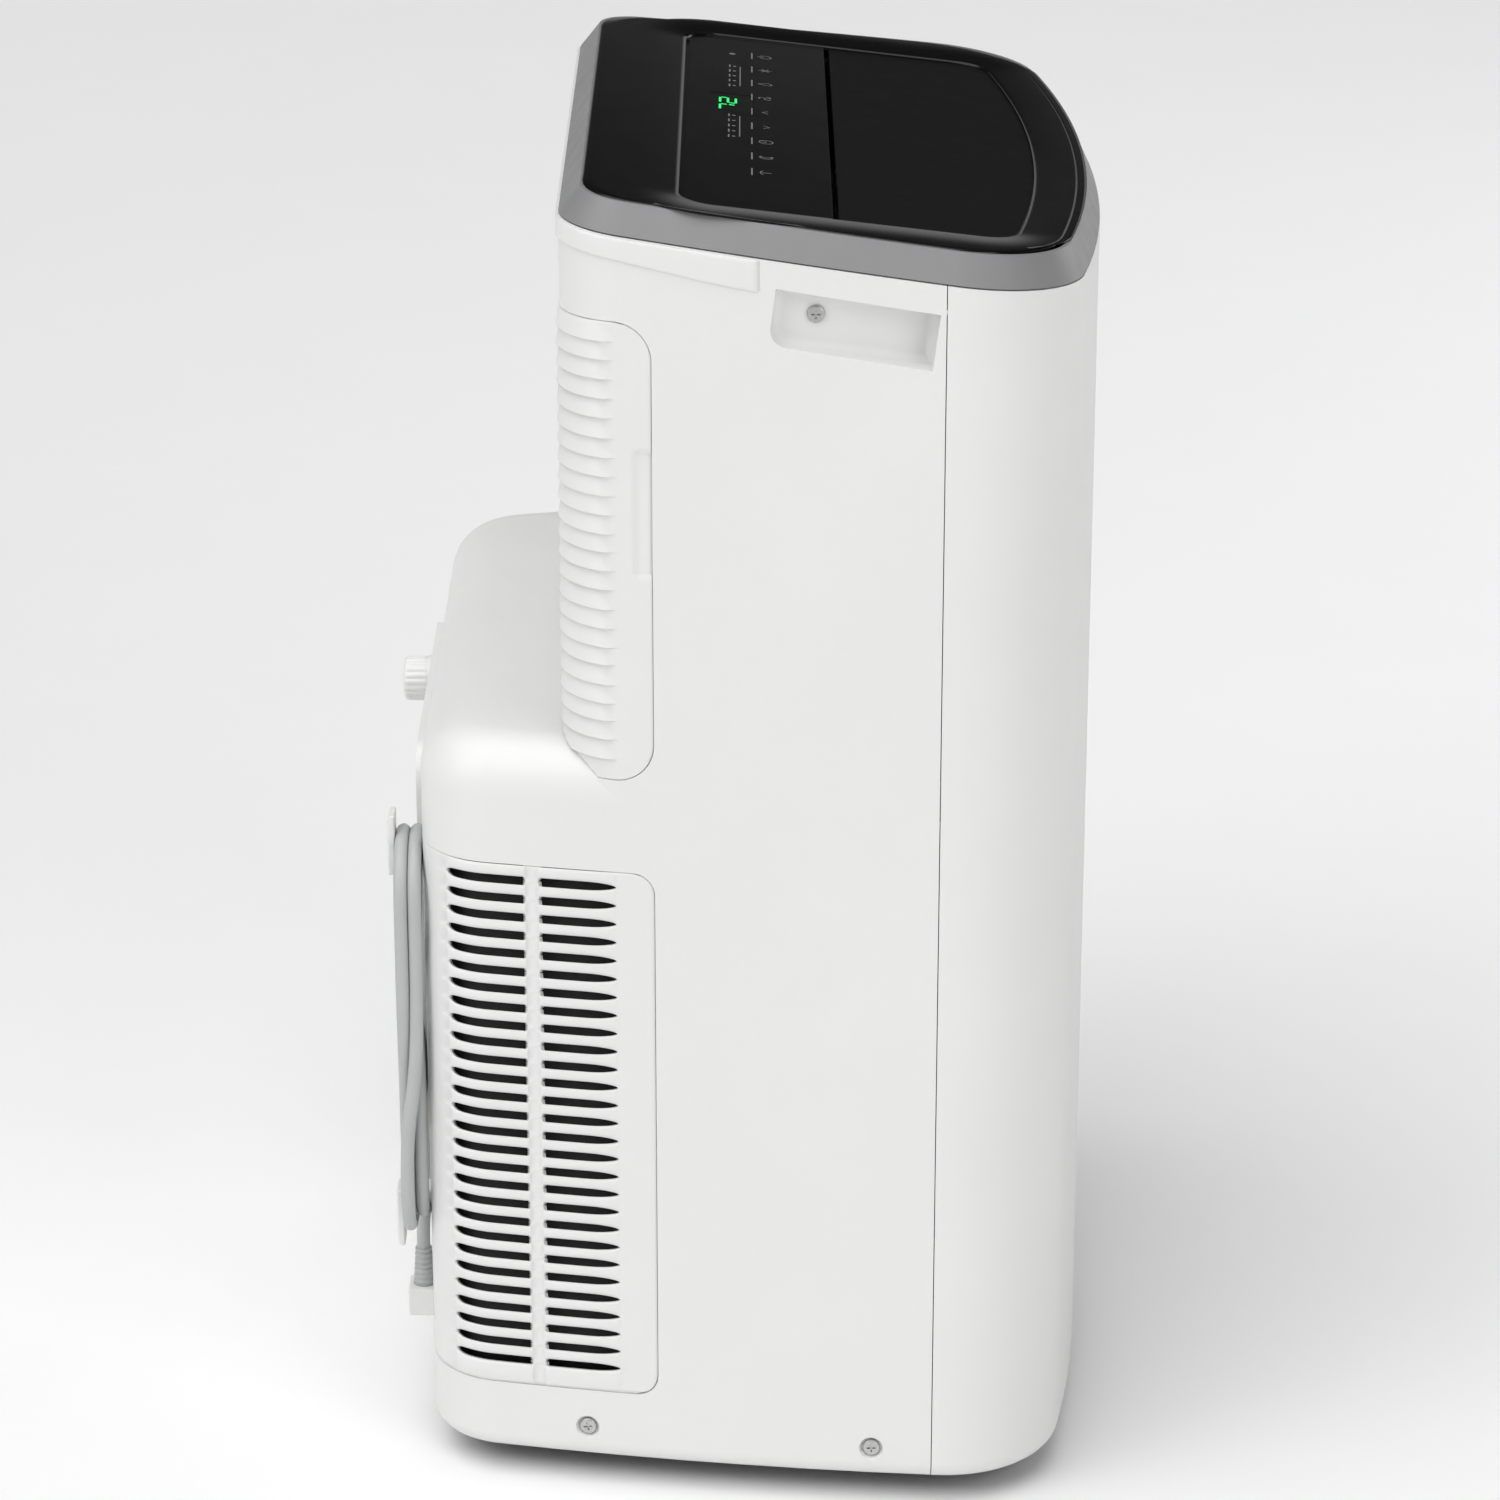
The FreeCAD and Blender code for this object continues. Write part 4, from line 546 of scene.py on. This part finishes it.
notch = (smooth(reach, notchS, notchS + 0.0008)
         * smooth(z, cover["notchLow"], cover["notchLow"] + 0.0012)
         * (1 - smooth(z, cover["notchTop"] - 0.0012, cover["notchTop"])))
offset = cover["proud"] * lip * ends * ribs - cover["notchDeep"] * notch - 0.0002
louvres = gridPiece("louvre_cover", wallPoints(along, z, upperWall, offset), flip=True)
thicken(weld(louvres), 0.0022)
settle(louvres, "filter_drawer", "white_casing", replaced=("filter_cover",))
print("louvre cover")

# lower side grilles: bars between see-through slots whose ends narrow like a leaf

grille = {"frontY": 0.0435, "low": 0.0575, "top": 0.362, "round": 0.012, "count": 28,
          "first": 0.0716, "pitch": 0.01044, "half": 0.0024, "backS": 0.1622, "belly": 0.0007,
          "spans": ((0.1965, 0.11125), (0.10475, 0.0635)), "shadeSheetDeep": 0.0095}
spans = [(grille["spans"][0][0], alongAt(grille["spans"][0][1], lowerWall)),
         (alongAt(grille["spans"][1][0], lowerWall), alongAt(grille["spans"][1][1], lowerWall))]
edgeS = alongAt(grille["frontY"], lowerWall)


def slottedPanel(name, side):
    backTaper, ribTaper, frontTaper = 0.007, 0.0016, 0.017
    tapers = [(backTaper, ribTaper), (ribTaper, frontTaper)]
    columns = [np.linspace(grille["backS"], spans[0][0], 6)]
    height = [np.zeros(6)]
    for (low, high), (first, last) in zip(spans, tapers):
        t = np.concatenate([low + first * np.linspace(0, 1, 7) ** 2,
                            np.linspace(low + first, high - last, 16)[1:-1],
                            high - last * np.linspace(1, 0, 9) ** 2])
        rise = np.minimum(np.minimum((t - low) / first, (high - t) / last), 1)
        columns.append(t)
        height.append(grille["half"] * np.sqrt(np.maximum(1 - (1 - rise) ** 2, 0)))
    columns.append(np.full(12, 2.0) + np.linspace(0, 1, 13)[1:])
    height.append(np.zeros(12))
    columns, height = np.concatenate(columns), np.concatenate(height)
    centres = grille["first"] + grille["pitch"] * np.arange(grille["count"])
    lower = np.vstack([np.full((1, len(columns)), grille["low"]), centres[:, None] + height])
    upper = np.vstack([centres[:, None] - height, np.full((1, len(columns)), grille["top"])])
    share = np.linspace(0, 1, 7)
    z = lower[:, None, :] + (upper - lower)[:, None, :] * share[None, :, None]
    within = np.minimum(z - grille["low"], grille["top"] - z)
    near = grille["round"] - np.minimum(within, grille["round"])
    edgeAt = edgeS - (grille["round"] - np.sqrt(np.maximum(grille["round"] ** 2 - near ** 2, 0)))
    front = spans[1][1] + (columns - 2)[None, None, :] * (edgeAt - spans[1][1])
    along = np.where(columns[None, None, :] >= 2, front, columns[None, None, :])
    arch = (1 - (2 * share - 1) ** 2)[None, :, None] * (height / grille["half"])[None, None, :]
    points = wallPoints(side * along, z, lowerWall, grille["belly"] * arch)
    verts = points.reshape(-1, 3)
    block = len(share) * len(columns)
    faces = []
    for bar in range(grille["count"] + 1):
        faces += gridFaces(len(share), len(columns), False, bar * block, side > 0)
    panel = newMesh(name, verts, faces)
    return thicken(weld(panel, 2e-6), 0.0026)


for side, label in ((-1, "left"), (1, "right")):
    panel = slottedPanel("grille_bars_" + label, side)
    settle(panel, "root", "white_casing", replaced=("side_grille_" + label,))
    # painted shade: a near-black sheet a little inside the wall, behind the slots, stands for the shade inside the
    # casing
    shadeSheetS = np.linspace(0.166, edgeS - 0.004, 30)
    shadeSheet = gridPiece("grille_painted_shade_" + label,
                    wallPoints(side * shadeSheetS[None, :], np.linspace(0.060, 0.3595, 24)[:, None],
                               lowerWall, -grille["shadeSheetDeep"]), flip=side > 0)
    settle(thicken(shadeSheet, 0.0012), "root", "seam_dark")
print("side grilles")

# raised band under the ring, round the back

band = {"proud": 0.0017, "frontY": -0.0115, "dropFront": 0.017, "dropBack": 0.0112, "gap": 0.0012}
bandS = alongAt(band["frontY"], upperWall)
along = np.concatenate([np.linspace(-bandS, -halfBack, 50), np.linspace(-halfBack, halfBack, 12)[1:-1],
                        np.linspace(halfBack, bandS, 50)])
rim = wallPoints(along, 0.0, upperWall, 0.0)
edgeZ = ringEdge["seamZ"] + ringEdge["rise"] * (rim[:, 1] - ringEdge["seamY"]) - band["gap"]
drop = band["dropBack"] + (band["dropFront"] - band["dropBack"]) * smooth(-rim[:, 1], -0.084, 0.0115)
share = np.array([0, 0.004, 0.05, 0.10, 0.16, 0.3, 0.5, 0.7, 0.85, 0.93, 0.97, 1.0])
level = np.array([-0.1, 0.15, 0.75, 0.95, 1, 1, 1, 1, 1, 0.9, 0.6, -0.1])
ends = smooth(bandS - np.abs(along), 0.0, 0.003)
bandPoints = wallPoints(along[None, :], (edgeZ - drop)[None, :] + drop[None, :] * share[:, None],
                        upperWall, band["proud"] * level[:, None] * ends[None, :] - 0.0001)
bandPiece = gridPiece("band_under_ring", bandPoints, flip=True)
settle(thicken(bandPiece, 0.0008), "root", "white_casing")
print("band under the ring")

# drain knob: a fluted cap on a smooth collar

low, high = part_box("drain_cap")
knob = {"radius": 0.0134, "flutes": 20, "deep": 0.055, "collar": 0.0032}
knobLong = high.y - low.y
knobProfile = [(0.0, 0.0006), (0.006, 0.0), (knob["radius"] - 0.0012, 0.0)]
knobProfile += [(knob["radius"] - 0.0002, 0.0006), (knob["radius"], 0.0014),
                (knob["radius"], knob["collar"] - 0.0004), (knob["radius"] - 0.0008, knob["collar"])]
for height, radius in [(0.0034, 0.0128), (0.006, 0.0130), (0.010, 0.0130), (0.0145, 0.0128),
                       (0.0160, 0.0124), (0.0168, 0.0116), (0.0173, 0.0102)]:
    knobProfile.append((radius, height))
knobProfile += [(0.0085, knobLong - 0.0001), (0.0078, knobLong - 0.0009), (0.0, knobLong - 0.0011)]


def fluted(angle, height):
    grooved = smooth(height, 0.0033, 0.0042) * (1 - smooth(height, 0.0155, 0.0168))
    return 1 - knob["deep"] * grooved * (0.5 + 0.5 * np.cos(knob["flutes"] * angle)) ** 2


cap = lathe("drain_knob", knobProfile, ((low.x + high.x) / 2, low.y, (low.z + high.z) / 2), (0, 1, 0),
            160, fluted)
settle(cap, "drain_cap", "white_trim", replaced=("drain_cap",))

# caster wheels: rounded tread, dished sides and a hub; each pair is radius and depth from the side,
# and the tread's radii are counted inwards from the wheel's own

wheelLook = {"bore": (0.0026, 0.0006),
             "dish": [(0.0026, 0.0006), (0.0058, 0.0006), (0.0064, 0.0018), (0.0118, 0.0022),
                      (0.0126, 0.0004)],
             "tread": [(0.0022, 0.0), (0.0008, 0.0007), (0.0002, 0.0020), (0.0, 0.0036)]}
for corner in ("rear_left", "rear_right", "front_left", "front_right"):
    low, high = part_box("caster_wheel_" + corner)
    radius = (high.z - low.z) / 2
    wide = high.x - low.x
    half = wheelLook["dish"] + [(radius - inward, deep) for inward, deep in wheelLook["tread"]]
    wheelProfile = half + [(r, wide - h) for r, h in half[::-1]] + [wheelLook["bore"]]
    wheel = lathe("wheel_" + corner, wheelProfile,
                  (low.x, (low.y + high.y) / 2, (low.z + high.z) / 2), (1, 0, 0), 72)
    settle(wheel, "wheel_" + corner, "caster_black", replaced=("caster_wheel_" + corner,))
print("knob and wheels")


# a CAD node's copy with its flat faces joined and its sharp edges softened

def refined(node, width):
    piece = bpy.data.objects.new(node + "_soft", nodes[node].data.copy())
    bpy.context.scene.collection.objects.link(piece)
    work = bmesh.new()
    work.from_mesh(piece.data)
    bmesh.ops.remove_doubles(work, verts=work.verts, dist=2e-6)
    bmesh.ops.dissolve_limit(work, angle_limit=math.radians(0.4), verts=work.verts, edges=work.edges)
    for edge in work.edges:
        edge.smooth = len(edge.link_faces) == 2 and edge.calc_face_angle(0) < math.radians(32)
    work.to_mesh(piece.data)
    work.free()
    piece.data.polygons.foreach_set("use_smooth", [True] * len(piece.data.polygons))
    soften(piece, width, 2, 32)
    return settle(piece, bodyOf[node], slotOf[node], replaced=(node,))


softEdges = {"cord_hook_upper": 0.0011, "cord_hook_lower": 0.0011, "cord_gland": 0.0012,
             "lower_drain_plug": 0.0005, "exhaust_guard": 0.0003, "control_box": 0.001,
             "vane_link_bar": 0.0003}
softEdges.update({"guide_vane_%d" % index: 0.0003 for index in range(1, 6)})
for name, width in softEdges.items():
    refined(name, width)
print("softened pieces")

# marks on the control panel, laid out in its own plane: across is +X, up is away from the front

wAxis = np.array(joints["vane_1_turn"]["axis"], float)
wAxis = wAxis / np.linalg.norm(wAxis)
vAxis = np.cross(wAxis, [1, 0, 0])


def topOf(node):
    mesh = nodes[node].data
    co = np.zeros(len(mesh.vertices) * 3, np.float32)
    mesh.vertices.foreach_get("co", co)
    return float((co.reshape(-1, 3) @ wAxis).max())


panelW = topOf("control_panel") + 0.00006
lensW = topOf("display_window") + 0.00006


# flat polygons in the panel's plane become one mesh; y is the casing's depth at the mark's middle
def flatMarks(name, shapes, w):
    verts = []
    faces = []
    for x, y, shape in shapes:
        across, up = np.array(shape["points"], float).T
        v = (y - w * wAxis[1]) / vAxis[1] + up
        place = (x + across)[:, None] * np.array([1.0, 0, 0]) + v[:, None] * vAxis + w * wAxis
        faces += [[len(verts) + i for i in face] for face in shape["faces"]]
        verts += place.tolist()
    return newMesh(name, verts, faces, False)


def bar(x0, y0, x1, y1, wide):
    run = np.array([x1 - x0, y1 - y0])
    side = np.array([-run[1], run[0]]) / np.linalg.norm(run) * wide / 2
    ends = np.array([[x0, y0], [x0, y0], [x1, y1], [x1, y1]]) + np.array([-side, side, side, -side])
    return {"points": ends[::-1], "faces": [[0, 1, 2, 3]]}


def ringMark(x, y, radius, wide, start=0, end=360, count=25):
    turn = np.radians(np.linspace(start, end, count))
    points = []
    for r in (radius - wide / 2, radius + wide / 2):
        points += np.stack([x + r * np.cos(turn), y + r * np.sin(turn)], -1).tolist()
    faces = [[i, count + i, count + i + 1, i + 1] for i in range(count - 1)]
    return {"points": points, "faces": faces}


def disc(x, y, radius, count=16):
    turn = np.linspace(0, 2 * math.pi, count, endpoint=False)
    return {"points": np.stack([x + radius * np.cos(turn), y + radius * np.sin(turn)], -1),
            "faces": [list(range(count))]}


line = 0.0005
glyphs = {
    "power": [ringMark(0, 0, 0.0026, line, 125, 415), bar(0, 0.0005, 0, 0.0034, line)],
    "star": [bar(-0.003 * math.cos(t), -0.003 * math.sin(t), 0.003 * math.cos(t),
                 0.003 * math.sin(t), line) for t in np.radians([30, 90, 150])],
    "drop": [ringMark(0, -0.0008, 0.0019, line, -215, 35), bar(-0.0015, 0.0003, 0, 0.0032, line),
             bar(0.0015, 0.0003, 0, 0.0032, line)],
    "fan": [ringMark(0, 0.0016, 0.0013, line, -90, 150),
            ringMark(-0.0014, -0.0008, 0.0013, line, 30, 270),
            ringMark(0.0014, -0.0008, 0.0013, line, -210, 30)],
    "up": [bar(-0.0022, -0.001, 0, 0.0016, line), bar(0.0022, -0.001, 0, 0.0016, line)],
    "down": [bar(-0.0022, 0.001, 0, -0.0016, line), bar(0.0022, 0.001, 0, -0.0016, line)],
    "clock": [ringMark(0, 0, 0.0028, line), bar(0, 0, 0, 0.0018, line), bar(0, 0, 0.0013, 0, line)],
    "moon": [ringMark(0, 0, 0.0026, line, 60, 300), ringMark(0.0017, 0, 0.0022, line, 95, 265)],
    "swing": [ringMark(0, -0.002, 0.0044, line, 50, 130), bar(0, -0.002, 0, 0.0018, line)],
}
marks = {"y": -0.0150, "from": 0.150, "to": -0.112, "grow": 1.3, "word": 0.0072, "wordUp": 0.0075,
         "lamp": (0.150, 0.0035, 0.0018), "groups": (0.097, -0.018), "groupPitch": 0.0115,
         "groupHalf": 0.023}
printed = []
for x, glyph in zip(np.linspace(marks["from"], marks["to"], len(glyphs)), glyphs.values()):
    for shape in glyph:
        printed.append((x, marks["y"], {"points": marks["grow"] * np.array(shape["points"]),
                                        "faces": shape["faces"]}))
    printed.append((x, marks["y"] + marks["wordUp"], bar(-marks["word"], 0, marks["word"], 0, 0.0008)))
lampX, lampY, lampR = marks["lamp"]
printed.append((lampX, lampY, disc(0, 0, lampR)))
for middle in marks["groups"]:
    printed.append((middle, -0.0010, bar(-marks["groupHalf"], 0, marks["groupHalf"], 0, 0.0006)))
    for x in middle + marks["groupPitch"] * np.arange(-2, 3):
        printed += [(x, 0.0022, disc(0, 0, 0.0010)), (x, 0.0048, bar(-0.0030, 0, 0.0030, 0, 0.0008))]
settle(flatMarks("panel_marks", printed, panelW), "root", "print_grey")
print("panel marks")

# deck round the recess: a surface from the recess's outline, over a soft rolled lip, to the ring;
# the lip's drop is deep times the square of the share of its width still to go

deck = {"insetRing": 0.0118, "frontY": -0.1935, "frontBow": 1.012, "frontRound": 0.064,
        "back": 0.0905, "backRound": 0.038, "edge": 0.0015, "skirt": 0.0035,
        "roll": 0.0280, "deep": 0.0014, "gap": 0.0002, "cornerX": 0.18, "cornerTurn": 0.14}
recess = {"half": 0.1915, "back": 0.0295, "backRound": 0.018, "frontY": -0.158, "frontBow": 1.004,
          "frontRound": 0.015}


# how far a point lies inside an outline: the smaller of two rounded corners' distances
def insideBy(x, y, sideAt, shape, grow):
    bow = shape["frontY"] - grow + shape["frontBow"] - np.sqrt(shape["frontBow"] ** 2 - x ** 2)
    side = sideAt + grow - np.abs(x)
    front = y - bow
    rear = shape["back"] + grow - y
    rounds = []
    for other, radius in ((front, shape["frontRound"] + grow), (rear, shape["backRound"] + grow)):
        rounds.append(radius - np.hypot(np.maximum(radius - side, 0), np.maximum(radius - other, 0)))
    return np.minimum(rounds[0], rounds[1])


# the outline as distances from a middle point along evenly turned rays, found by halving
def outlineAt(turn, middleY, shape, grow):
    near, far = np.zeros_like(turn), np.full_like(turn, 0.5)
    for _ in range(40):
        reach = (near + far) / 2
        x, y = reach * np.cos(turn), middleY + reach * np.sin(turn)
        sideAt = shape.get("half", casing["crestX"] - casing["bow"]
                           + np.sqrt(casing["bow"] ** 2 - (y - casing["crestY"]) ** 2))
        within = insideBy(x, y, sideAt, shape, grow) > 0
        near, far = np.where(within, reach, near), np.where(within, far, reach)
    return np.stack([near * np.cos(turn), middleY + near * np.sin(turn)], -1)


middleY = (recess["back"] + recess["frontY"]) / 2
corners = [math.atan2(y - middleY, x) for x in (-deck["cornerX"], deck["cornerX"])
           for y in (recess["back"], recess["frontY"])]
closer = np.linspace(-deck["cornerTurn"], deck["cornerTurn"], 41)  # more rays towards each corner
turn = np.sort(np.concatenate([np.linspace(-math.pi, math.pi, 240, endpoint=False)]
                              + [corner + closer for corner in corners]))
deckTop = topOf("top_deck")
deckRows = [(outlineAt(turn, middleY, recess, deck["gap"]), -deck["skirt"])]
for share in np.linspace(0, 1, 13):
    rolled = -deck["deep"] * (1 - share) ** 2
    deckRows.append((outlineAt(turn, middleY, recess, deck["gap"] + deck["roll"] * share), rolled))
rollEdge = deckRows[-1][0]
outerEdge = outlineAt(turn, middleY, deck, -deck["insetRing"] - deck["edge"])
for share in (0.25, 0.5, 0.75, 1.0):
    deckRows.append((rollEdge + share * (outerEdge - rollEdge), 0.0))
for angle in np.radians([22.5, 45, 67.5, 90]):
    grow = deck["edge"] * (math.sin(angle) - 1) - deck["insetRing"]
    deckRows.append((outlineAt(turn, middleY, deck, grow), deck["edge"] * (math.cos(angle) - 1)))
deckRows.append((outlineAt(turn, middleY, deck, -deck["insetRing"]), -deck["skirt"]))
plan = np.stack([row for row, _ in deckRows])
deckW = deckTop + np.array([drop for _, drop in deckRows])[:, None]
seat = (plan[..., 1:] - deckW[..., None] * wAxis[1]) / vAxis[1]
deckPoints = plan[..., :1] * np.array([1.0, 0, 0]) + seat * vAxis + deckW[..., None] * wAxis
deckPiece = gridPiece("deck_surface", deckPoints, around=True)
settle(deckPiece, "root", "black_deck", replaced=("top_deck",))
print("deck")

# two seven-segment digits on the lens

digit = {"tall": 0.0086, "wide": 0.0112, "stroke": 0.0012, "gap": 0.0006, "y": 0.0055,
         "shown": ((0.0233, "abc"), (0.0388, "abged"))}
halfWide, halfTall = digit["wide"] / 2, digit["tall"] / 2
segments = {
    "a": (-halfWide, halfTall, halfWide, halfTall), "g": (-halfWide, 0, halfWide, 0),
    "d": (-halfWide, -halfTall, halfWide, -halfTall), "b": (halfWide, 0, halfWide, halfTall),
    "c": (halfWide, -halfTall, halfWide, 0), "e": (-halfWide, -halfTall, -halfWide, 0),
    "f": (-halfWide, 0, -halfWide, halfTall)}
lit = []
for x, which in digit["shown"]:
    for letter in which:
        x0, y0, x1, y1 = segments[letter]
        run = np.array([x1 - x0, y1 - y0])
        trim = run / np.linalg.norm(run) * digit["gap"]
        lit.append((x, digit["y"], bar(x0 + trim[0], y0 + trim[1], x1 - trim[0], y1 - trim[1],
                                       digit["stroke"])))
settle(flatMarks("display_digits", lit, lensW), "root", "digit_green")
print("digits")
